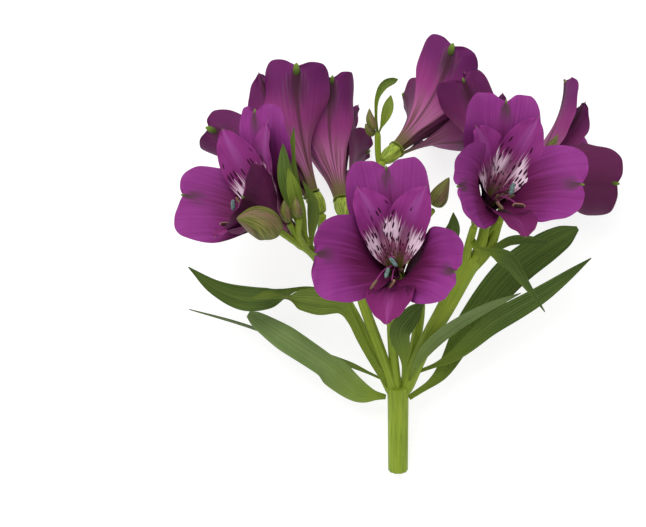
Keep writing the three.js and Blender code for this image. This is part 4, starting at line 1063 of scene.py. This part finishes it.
class Finish:
    """A material and short calls that add nodes to it. Each call gives the node's output socket."""

    def __init__(self, name, roughness, specular):
        self.material = bpy.data.materials.new(name)
        self.material.use_nodes = True
        self.tree = self.material.node_tree
        self.shader = next(n for n in self.tree.nodes if n.type == "BSDF_PRINCIPLED")
        self.shader.inputs["Roughness"].default_value = roughness
        self.shader.inputs["Specular IOR Level"].default_value = specular

    def put(self, socket, value):
        """Links a socket to the input, or sets the input to a number or a colour."""
        if isinstance(value, bpy.types.NodeSocket):
            self.tree.links.new(value, socket)
        else:
            socket.default_value = value

    def attribute(self, name):
        """A number that the mesh carries."""
        node = self.tree.nodes.new("ShaderNodeAttribute")
        node.attribute_name = name
        return node.outputs["Fac"]

    def place(self):
        """The point on the object, in metres."""
        return self.tree.nodes.new("ShaderNodeTexCoord").outputs["Object"]

    def math(self, operation, first, second=0.0):
        """One sum on two numbers."""
        node = self.tree.nodes.new("ShaderNodeMath")
        node.operation = operation
        self.put(node.inputs[0], first)
        self.put(node.inputs[1], second)
        return node.outputs[0]

    def times(self, *factors):
        """The product of the numbers."""
        result = factors[0]
        for factor in factors[1:]:
            result = self.math("MULTIPLY", result, factor)
        return result

    def ramp(self, value, low, high, start=0.0, end=1.0):
        """Goes smoothly from start to end as the value goes from low to high."""
        node = self.tree.nodes.new("ShaderNodeMapRange")
        node.interpolation_type = "SMOOTHSTEP"
        for key, number in (("Value", value), ("From Min", low), ("From Max", high),
                            ("To Min", start), ("To Max", end)):
            self.put(node.inputs[key], number)
        return node.outputs["Result"]

    def from_kind(self, kind, first):
        """1 on parts whose kind is the first one or a later one, and 0 on the others."""
        return self.ramp(kind, first - 0.6, first - 0.4)

    def only(self, kind, wanted):
        """1 on parts of the wanted kind, and 0 on the others."""
        apart = self.math("ABSOLUTE", self.math("SUBTRACT", kind, float(wanted)))
        return self.ramp(apart, 0.4, 0.6, 1.0, 0.0)

    def mix(self, share, first, second):
        """The second colour over the first, by the share."""
        node = self.tree.nodes.new("ShaderNodeMix")
        node.data_type = "RGBA"
        self.put(node.inputs["Factor"], share)
        self.put(node.inputs[6], first)
        self.put(node.inputs[7], second)
        return node.outputs[2]

    def vector(self, x, y, z=0.0):
        """Three numbers as a vector."""
        node = self.tree.nodes.new("ShaderNodeCombineXYZ")
        for socket, value in zip(node.inputs, (x, y, z)):
            self.put(socket, value)
        return node.outputs[0]

    def noise(self, vector, scale=1.0, detail=2.0):
        """Soft noise round 0.5."""
        node = self.tree.nodes.new("ShaderNodeTexNoise")
        self.put(node.inputs["Vector"], vector)
        node.inputs["Scale"].default_value = scale
        node.inputs["Detail"].default_value = detail
        return node.outputs["Fac"]

    def cells(self, vector):
        """Distance to the nearest of scattered points, and a random number for each point."""
        node = self.tree.nodes.new("ShaderNodeTexVoronoi")
        node.voronoi_dimensions = "2D"
        self.put(node.inputs["Vector"], vector)
        node.inputs["Scale"].default_value = 1.0
        node.inputs["Randomness"].default_value = 0.8
        channel = self.tree.nodes.new("ShaderNodeSeparateColor")
        self.tree.links.new(node.outputs["Color"], channel.inputs[0])
        return node.outputs["Distance"], channel.outputs[0]

    def bump(self, height, distance, strength):
        """Fine relief from a height, whose full range is the distance in metres."""
        node = self.tree.nodes.new("ShaderNodeBump")
        node.inputs["Strength"].default_value = strength
        node.inputs["Distance"].default_value = distance
        self.put(node.inputs["Height"], height)
        self.tree.links.new(node.outputs["Normal"], self.shader.inputs["Normal"])

    def paint(self, value):
        """Sets the base colour and gives the material."""
        self.put(self.shader.inputs["Base Color"], value)
        return self.material


def tepal_texture(f):
    """The numbers that the finishes of a tepal's faces share: its place along and across, veins
    that spread from the claw, and scattered points for its dashes."""
    t = SimpleNamespace(along=f.attribute("along"), across=f.attribute("across"))
    fan = f.attribute("fan")
    t.off = f.math("ABSOLUTE", t.across)
    t.seed = f.times(f.attribute("chance"), 37.0)
    t.streak = f.noise(f.vector(f.times(fan, 11.0), f.times(t.along, 1.2), t.seed))
    t.fine = f.noise(f.vector(f.times(fan, 24.0), f.times(t.along, 1.8), t.seed))
    t.shift = f.math("SUBTRACT", t.streak, 0.5)
    t.ragged_off = f.math("ADD", t.off, f.times(t.shift, 0.5))
    t.dash_distance, t.dash_chance = f.cells(
        f.vector(f.math("ADD", f.times(t.across, 6.0), t.seed), f.times(t.along, 8.0)))
    return t


def outer_face(f, t, settings):
    """The face of an outer tepal: purple, turning to wine towards the throat, lighter at its edges
    and along some veins, with an olive patch under its tip."""
    outwards = f.math("ADD", t.along, f.times(t.off, 0.22))
    face = f.mix(f.ramp(outwards, 0.45, 0.86), (*settings.magenta, 1.0), (*settings.purple, 1.0))
    deep = f.ramp(f.math("ADD", outwards, f.times(t.shift, 0.4)), 0.46, 0.98, 1.0, 0.0)
    face = f.mix(f.times(deep, 0.9), face, WINE)
    edge = f.times(f.ramp(t.off, 0.6, 1.0), f.ramp(t.along, 0.45, 0.8), 0.26)
    face = f.mix(edge, face, LIGHT_PURPLE)
    light_veins = f.times(f.ramp(t.streak, 0.42, 0.7), f.ramp(t.along, 0.3, 0.65), 0.2)
    face = f.mix(light_veins, face, LIGHT_PURPLE)
    dark_veins = f.times(f.ramp(t.fine, 0.5, 0.7), f.ramp(t.along, 0.2, 0.5), 0.22)
    face = f.mix(dark_veins, face, WINE)
    patch = f.times(f.ramp(f.math("ADD", t.along, f.times(t.shift, 0.3)), 0.74, 0.93),
                    f.ramp(t.ragged_off, 0.06, 0.3, 1.0, 0.0))
    return f.mix(f.times(patch, 0.85), face, OLIVE_GREY)


def dashes(f, t):
    """Long dark dashes, close together on the pale blotch and rarer above it."""
    rare = f.ramp(t.along, 0.5, 0.68, 0.2, 0.72)
    return f.times(f.ramp(t.dash_distance, 0.22, 0.29, 1.0, 0.0),
                   f.ramp(f.math("SUBTRACT", t.dash_chance, rare), 0.0, 0.02),
                   f.ramp(t.along, 0.36, 0.4), f.ramp(t.along, 0.74, 0.8, 1.0, 0.0),
                   f.ramp(t.off, 0.06, 0.14))


def dots(f, t):
    """Small dark dots between the claw and the blotch."""
    distance, chance = f.cells(
        f.vector(f.math("ADD", f.times(t.across, 7.5), t.seed), f.times(t.along, 16.0)))
    return f.times(f.ramp(distance, 0.2, 0.3, 1.0, 0.0), f.ramp(chance, 0.35, 0.37),
                   f.ramp(t.along, 0.2, 0.26), f.ramp(t.along, 0.42, 0.48, 1.0, 0.0))


def upper_inner_face(f, t, settings):
    """The face of an upper inner tepal: an olive claw, a pink foot with a dark middle, a ragged pale
    blotch that is weaker in the middle, dark marks, and a lighter stripe up to the tip."""
    face = f.mix(f.ramp(t.along, 0.5, 0.8), colour(108, 30, 84), colour(134, 46, 120))
    face = f.mix(f.times(f.ramp(t.fine, 0.45, 0.65), 0.25), face, colour(104, 26, 84))
    stripe = f.times(f.ramp(t.ragged_off, 0.08, 0.4, 1.0, 0.0), f.ramp(t.along, 0.55, 0.85))
    face = f.mix(f.times(stripe, 0.6), face, colour(146, 74, 142))
    foot = f.mix(f.ramp(t.streak, 0.4, 0.62), colour(112, 44, 78), colour(166, 108, 136))
    face = f.mix(f.ramp(t.along, 0.4, 0.5, 1.0, 0.0), face, foot)
    middle = f.times(f.ramp(t.off, 0.0, 0.3, 1.0, 0.0), f.ramp(t.along, 0.42, 0.3), 0.6)
    face = f.mix(middle, face, colour(98, 44, 66))
    claw = f.ramp(f.math("ADD", t.along, f.times(t.shift, 0.2)), 0.14, 0.34, 0.95, 0.0)
    face = f.mix(claw, face, colour(112, 110, 38))
    ragged = f.math("ADD", t.along, f.times(t.shift, 0.42))
    blotch = f.times(f.ramp(ragged, 0.37, 0.43), f.ramp(ragged, 0.52, 0.62, 1.0, 0.0),
                     f.ramp(t.off, 0.14, 0.42, 0.12, 1.0), f.ramp(t.fine, 0.3, 0.5, 0.55, 1.0))
    face = f.mix(blotch, face, (*settings.blotch, 1.0))
    return f.mix(f.math("MAXIMUM", dashes(f, t), dots(f, t)), face, MARK)


def lower_inner_face(f, t):
    """The face of the lower inner tepal: dark and streaked at its foot, with a light midrib above
    and a few dashes at its sides."""
    face = f.mix(f.ramp(t.along, 0.2, 0.8), colour(66, 16, 46), colour(120, 36, 98))
    streaks = f.times(f.ramp(t.streak, 0.5, 0.62), f.ramp(t.along, 0.35, 0.8, 1.0, 0.0), 0.8)
    face = f.mix(streaks, face, colour(58, 14, 42))
    midrib = f.times(f.ramp(t.off, 0.04, 0.3, 1.0, 0.0), f.ramp(t.along, 0.45, 0.8),
                     f.ramp(t.fine, 0.35, 0.55), 0.6)
    face = f.mix(midrib, face, colour(152, 72, 140))
    few = f.times(f.ramp(t.dash_distance, 0.12, 0.17, 1.0, 0.0), f.ramp(t.dash_chance, 0.6, 0.62),
                  f.ramp(t.along, 0.4, 0.45), f.ramp(t.along, 0.62, 0.68, 1.0, 0.0),
                  f.ramp(t.off, 0.25, 0.35))
    return f.mix(few, face, MARK)


def tepal_back(f, t):
    """The back of a tepal: mauve below and purple above, with dark stripes that rise from an olive
    claw, a dark midrib, a greyer middle, and a dark smudge under the tip."""
    back = f.mix(f.ramp(t.along, 0.3, 0.62), colour(164, 96, 138), colour(140, 54, 116))
    back = f.mix(f.ramp(t.along, 0.58, 0.88), back, colour(102, 36, 94))
    veins = f.times(f.ramp(t.streak, 0.42, 0.66), f.ramp(t.along, 0.35, 0.8), 0.35)
    back = f.mix(veins, back, colour(100, 30, 82))
    grey = f.times(f.ramp(t.along, 0.5, 0.85), f.ramp(t.ragged_off, 0.1, 0.5, 1.0, 0.0),
                   f.ramp(t.fine, 0.4, 0.6), 0.55)
    back = f.mix(grey, back, colour(112, 84, 96))
    broad = f.noise(f.vector(f.times(t.across, 5.0), f.times(t.along, 0.7), t.seed), 1.4, 1.0)
    stripes = f.times(f.ramp(broad, 0.46, 0.58), f.ramp(t.along, 0.18, 0.62, 0.9, 0.0))
    back = f.mix(stripes, back, colour(96, 62, 56))
    midrib = f.times(f.ramp(t.off, 0.02, 0.09, 1.0, 0.0), f.ramp(t.along, 0.85, 0.98, 0.8, 0.3))
    back = f.mix(midrib, back, colour(84, 46, 60))
    smudge = f.times(f.ramp(f.math("ADD", t.along, f.times(t.shift, 0.45)), 0.58, 0.88),
                     f.ramp(t.ragged_off, 0.05, 0.34, 1.0, 0.0), 0.9)
    back = f.mix(smudge, back, colour(56, 30, 42))
    return f.mix(f.ramp(t.along, 0.04, 0.24, 0.9, 0.0), back, colour(100, 94, 50))


def tepal_finish(settings):
    """Satin tepals, each with the face of its kind and a back, the points at their tips and the disc
    that carries them."""
    f = Finish("tepal", roughness=0.6, specular=0.1)
    t = tepal_texture(f)
    kind = f.attribute("kind")
    front = f.mix(f.only(kind, UPPER_INNER), outer_face(f, t, settings),
                  upper_inner_face(f, t, settings))
    front = f.mix(f.only(kind, LOWER_INNER), front, lower_inner_face(f, t))
    result = f.mix(f.attribute("inner"), tepal_back(f, t), front)
    # Painted shade: each tepal's dark share mixes SHADE into its colour, for tepals that lie in
    # shadow.
    result = f.mix(f.times(f.attribute("dark"), 0.85), result, SHADE)
    cloud = f.noise(f.place(), 60.0)
    result = f.mix(f.ramp(cloud, 0.35, 0.75, 0.14, 0.0), result, WINE)
    green_tip = f.mix(f.ramp(t.along, 0.2, 0.9), colour(64, 74, 30), colour(98, 122, 44))
    result = f.mix(f.from_kind(kind, OUTER_TIP), result, green_tip)
    result = f.mix(f.from_kind(kind, INNER_TIP), result, colour(110, 84, 78))
    result = f.mix(f.from_kind(kind, DISC), result, colour(104, 112, 44))
    f.bump(f.math("ADD", f.times(t.streak, 0.5), f.times(t.fine, 0.5)), 0.0003, 0.4)
    return f.paint(result)


def stamen_finish():
    """Magenta filaments, and anthers that are blue-grey with pollen, dark with a pale rim, or
    olive."""
    f = Finish("stamen", roughness=0.65, specular=0.15)
    along, around, kind = f.attribute("along"), f.attribute("across"), f.attribute("kind")
    grain = f.noise(f.place(), 2600.0)
    result = f.mix(along, colour(112, 48, 78), colour(150, 58, 124))
    dusty = f.mix(f.ramp(grain, 0.35, 0.65), colour(112, 138, 134), colour(70, 82, 78))
    olive = f.mix(f.ramp(grain, 0.35, 0.65), colour(92, 72, 60), colour(124, 100, 78))
    facing = f.math("ABSOLUTE", f.math("SINE", f.times(around, FULL_TURN)))
    from_middle = f.math("ABSOLUTE", f.math("SUBTRACT", along, 0.5))
    rim = f.math("MAXIMUM", f.ramp(facing, 0.2, 0.75, 1.0, 0.0), f.ramp(from_middle, 0.34, 0.46))
    dark_rimmed = f.mix(rim, colour(56, 28, 36), colour(150, 118, 92))
    result = f.mix(f.from_kind(kind, DUSTY), result, dusty)
    result = f.mix(f.from_kind(kind, DARK_RIMMED), result, dark_rimmed)
    result = f.mix(f.from_kind(kind, OLIVE), result, olive)
    f.bump(grain, 0.0002, 0.6)
    return f.paint(result)


def leaf_finish(name, settings):
    """Green leaves with ribs, parallel veins, a pale midrib and a yellower foot. An under face is
    greyer, and a young leaf lighter."""
    f = Finish(name, roughness=0.55, specular=0.2)
    along, across = f.attribute("along"), f.attribute("across")
    off = f.math("ABSOLUTE", across)
    seed = f.times(f.attribute("chance"), 23.0)
    veins = f.noise(f.vector(f.times(across, 10.0), f.times(along, 1.2), seed), 1.5)
    ribs = f.ramp(f.math("SINE", f.times(across, 24.0)), 0.1, 1.0)
    cloud = f.noise(f.place(), 70.0, 3.0)
    upper = f.mix(f.ramp(veins, 0.35, 0.7), (*settings.green, 1.0), colour(92, 114, 44))
    under = f.mix(f.ramp(veins, 0.35, 0.7), (*settings.under_green, 1.0), colour(124, 142, 88))
    green = f.mix(f.attribute("kind"), upper, under)
    green = f.mix(f.times(ribs, 0.16), green, colour(140, 158, 84))
    green = f.mix(f.times(f.ramp(off, 0.0, 0.07, 1.0, 0.0), 0.3), green, colour(140, 156, 80))
    young = f.mix(f.ramp(veins, 0.35, 0.65), colour(92, 112, 34), colour(130, 148, 52))
    green = f.mix(f.attribute("light"), green, young)
    ragged = f.math("ADD", along, f.times(f.math("SUBTRACT", veins, 0.5), 0.3))
    green = f.mix(f.ramp(ragged, 0.05, 0.6, 0.9, 0.0), green, colour(124, 146, 40))
    green = f.mix(f.ramp(cloud, 0.3, 0.7, 0.22, 0.0), green, colour(52, 72, 26))
    f.bump(f.math("ADD", f.times(ribs, 0.5), f.times(veins, 0.5)), 0.0004, 0.7)
    return f.paint(green)


def stem_finish(settings):
    """Yellow-green stem with long pale and dark lines, and paler ovaries."""
    f = Finish("stem", roughness=0.5, specular=0.2)
    turn = f.times(f.attribute("across"), FULL_TURN)
    length = f.math("ADD", f.times(f.attribute("along"), 1.5), f.times(f.attribute("chance"), 30.0))
    round_x = f.times(f.math("SINE", turn), 3.4)
    round_y = f.times(f.math("COSINE", turn), 3.4)
    lines = f.noise(f.vector(round_x, round_y, length), 1.6)
    cloud = f.noise(f.place(), 90.0, 3.0)
    green = f.mix(f.ramp(lines, 0.38, 0.6), (*settings.green, 1.0), colour(140, 160, 48))
    green = f.mix(f.ramp(lines, 0.3, 0.42, 0.5, 0.0), green, colour(88, 108, 24))
    green = f.mix(f.ramp(cloud, 0.35, 0.7, 0.2, 0.0), green, colour(96, 118, 22))
    ovary = f.mix(f.ramp(lines, 0.36, 0.64), colour(104, 124, 40), colour(150, 168, 62))
    green = f.mix(f.attribute("kind"), green, ovary)
    f.bump(lines, 0.0004, 0.7)
    return f.paint(green)


def bud_finish():
    """Olive-green buds with a purple flush towards the tip and a dark line at each tepal's edge."""
    f = Finish("bud", roughness=0.55, specular=0.2)
    along, around = f.attribute("along"), f.attribute("across")
    third = f.math("FRACT", f.times(around, 3.0))
    seed = f.times(f.attribute("chance"), 11.0)
    veins = f.noise(f.vector(f.times(around, 30.0), f.times(along, 2.0), seed), 1.5)
    green = f.mix(f.ramp(veins, 0.35, 0.65), colour(82, 90, 32), colour(122, 122, 58))
    flush = f.times(f.ramp(third, 0.25, 0.8), f.ramp(veins, 0.3, 0.6), f.ramp(along, 0.1, 0.4))
    green = f.mix(f.times(flush, 0.75), green, colour(118, 78, 80))
    edge = f.math("MAXIMUM", f.ramp(third, 0.0, 0.08, 1.0, 0.0), f.ramp(third, 0.97, 1.0))
    green = f.mix(f.times(edge, 0.8), green, colour(58, 40, 34))
    f.bump(veins, 0.0004, 0.6)
    return f.paint(green)


# ---------------------------------------------------------------- the operators of the pieces

class ALSTROEMERIA_OT_tepals(bpy.types.Operator):
    """Make the tepals of the eight blooms"""

    bl_idname = "alstroemeria.tepals"
    bl_label = "Tepals"

    def execute(self, context):
        settings = context.scene.alstroemeria_tepals
        material = tepal_finish(settings)
        for name, bloom in BLOOMS.items():
            make_tepals(f"bloom_{name}_tepals", bloom, settings, material)
        return {"FINISHED"}


class ALSTROEMERIA_OT_stamens(bpy.types.Operator):
    """Make the stamens and styles of the eight blooms"""

    bl_idname = "alstroemeria.stamens"
    bl_label = "Stamens"

    def execute(self, context):
        material = stamen_finish()
        for name, bloom in BLOOMS.items():
            make_stamens(f"bloom_{name}_stamens", bloom, material)
        return {"FINISHED"}


class ALSTROEMERIA_OT_leaves(bpy.types.Operator):
    """Make the leaves and bracts"""

    bl_idname = "alstroemeria.leaves"
    bl_label = "Leaves"

    def execute(self, context):
        settings = context.scene.alstroemeria_leaves
        material = leaf_finish("leaf", settings)
        for name, leaf in LEAVES.items():
            make_leaf(name, leaf, settings, material)
        return {"FINISHED"}


class ALSTROEMERIA_OT_buds(bpy.types.Operator):
    """Make the buds"""

    bl_idname = "alstroemeria.buds"
    bl_label = "Buds"

    def execute(self, context):
        material = bud_finish()
        for name, bud in BUDS.items():
            make_bud(name, bud, material)
        return {"FINISHED"}


class ALSTROEMERIA_OT_stem(bpy.types.Operator):
    """Make the stem with its rays, pedicels and ovaries"""

    bl_idname = "alstroemeria.stem"
    bl_label = "Stem"

    def execute(self, context):
        settings = context.scene.alstroemeria_stem
        make_stem(settings, stem_finish(settings))
        return {"FINISHED"}


# ---------------------------------------------------------------- the stage

FLOOR_REACH = 3.0
FLOOR_POINTS = 9
FLOOR_GREY = (0.4, 0.4, 0.4, 1.0)
FLOOR_GLOW = 0.72
KEY_PLACE = (-0.35, 0.75, 1.2)
KEY_TARGET = (0, 0, 0.05)
KEY_SIZE = 0.9
SENSOR_WIDTH = 36
NEAREST = 0.05


def make_floor():
    """A flat pale floor, as a grid of two parameters."""
    steps = np.linspace(-FLOOR_REACH, FLOOR_REACH, FLOOR_POINTS)
    x, y = np.meshgrid(steps, steps, indexing="ij")
    points = np.stack([x, y, 0 * x], -1).reshape(-1, 3)
    mesh = bpy.data.meshes.new("floor")
    mesh.from_pydata(points.tolist(), [], grid_quads(FLOOR_POINTS, FLOOR_POINTS).tolist())
    f = Finish("floor", roughness=0.9, specular=0.1)
    f.shader.inputs["Base Color"].default_value = FLOOR_GREY
    f.shader.inputs["Emission Color"].default_value = WHITE
    f.shader.inputs["Emission Strength"].default_value = FLOOR_GLOW
    mesh.materials.append(f.material)
    floor = bpy.data.objects.new("floor", mesh)
    bpy.context.scene.collection.objects.link(floor)


def make_light(name, place, target, size, power):
    """A square area light at the place, facing the target, in metres."""
    lamp = bpy.data.lights.new(name, "AREA")
    lamp.size = size
    lamp.energy = power
    made = bpy.data.objects.new(name, lamp)
    made.location = place
    made.rotation_euler = (Vector(target) - Vector(place)).to_track_quat("-Z", "Y").to_euler()
    bpy.context.scene.collection.objects.link(made)


class ALSTROEMERIA_OT_stage(bpy.types.Operator):
    """Make the floor, the lights and the camera"""

    bl_idname = "alstroemeria.stage"
    bl_label = "Stage"

    def execute(self, context):
        scene = context.scene
        settings = scene.alstroemeria_stage
        make_floor()
        make_light("key", KEY_PLACE, KEY_TARGET, KEY_SIZE, settings.key_power)
        world = bpy.data.worlds.new("studio")
        world.use_nodes = True
        sky = world.node_tree.nodes["Background"]
        sky.inputs["Color"].default_value = WHITE
        sky.inputs["Strength"].default_value = settings.sky
        scene.world = world
        scene.view_settings.view_transform = "Standard"

        lens = bpy.data.cameras.new("camera")
        lens.lens = settings.lens
        lens.sensor_width = SENSOR_WIDTH
        lens.clip_start = NEAREST
        camera = bpy.data.objects.new("camera", lens)
        camera.location = (settings.camera_x, settings.camera_y, settings.camera_height)
        scene.collection.objects.link(camera)
        scene.camera = camera
        return {"FINISHED"}


# ---------------------------------------------------------------- panel and registration

class ALSTROEMERIA_PT_sidebar(bpy.types.Panel):
    """The steps that build the stem, and their settings"""

    bl_label = "Alstroemeria"
    bl_idname = "ALSTROEMERIA_PT_sidebar"
    bl_space_type = "VIEW_3D"
    bl_region_type = "UI"
    bl_category = "Alstroemeria"

    def draw(self, context):
        layout = self.layout
        for step in STEPS:
            layout.operator(step.bl_idname)
        for name, group in GROUPS.items():
            box = layout.box()
            box.label(text=group.__doc__)
            for field in group.__annotations__:
                box.prop(getattr(context.scene, name), field)


GROUPS = {
    "alstroemeria_tepals": TepalSettings,
    "alstroemeria_leaves": LeafSettings,
    "alstroemeria_stem": StemSettings,
    "alstroemeria_stage": StageSettings,
}
STEPS = (
    ALSTROEMERIA_OT_stem,
    ALSTROEMERIA_OT_tepals,
    ALSTROEMERIA_OT_stamens,
    ALSTROEMERIA_OT_leaves,
    ALSTROEMERIA_OT_buds,
    ALSTROEMERIA_OT_stage,
)


def register():
    """Registers the settings, the operators and the panel."""
    for group in GROUPS.values():
        bpy.utils.register_class(group)
    for step in STEPS:
        bpy.utils.register_class(step)
    bpy.utils.register_class(ALSTROEMERIA_PT_sidebar)
    for name, group in GROUPS.items():
        setattr(bpy.types.Scene, name, PointerProperty(type=group))


def unregister():
    """Takes away what register added."""
    for name in GROUPS:
        delattr(bpy.types.Scene, name)
    bpy.utils.unregister_class(ALSTROEMERIA_PT_sidebar)
    for step in reversed(STEPS):
        bpy.utils.unregister_class(step)
    for group in GROUPS.values():
        bpy.utils.unregister_class(group)


def main():
    """Builds everything in order."""
    register()
    bpy.ops.alstroemeria.stem()
    bpy.ops.alstroemeria.tepals()
    bpy.ops.alstroemeria.stamens()
    bpy.ops.alstroemeria.leaves()
    bpy.ops.alstroemeria.buds()
    bpy.ops.alstroemeria.stage()


if __name__ == "__main__":
    main()
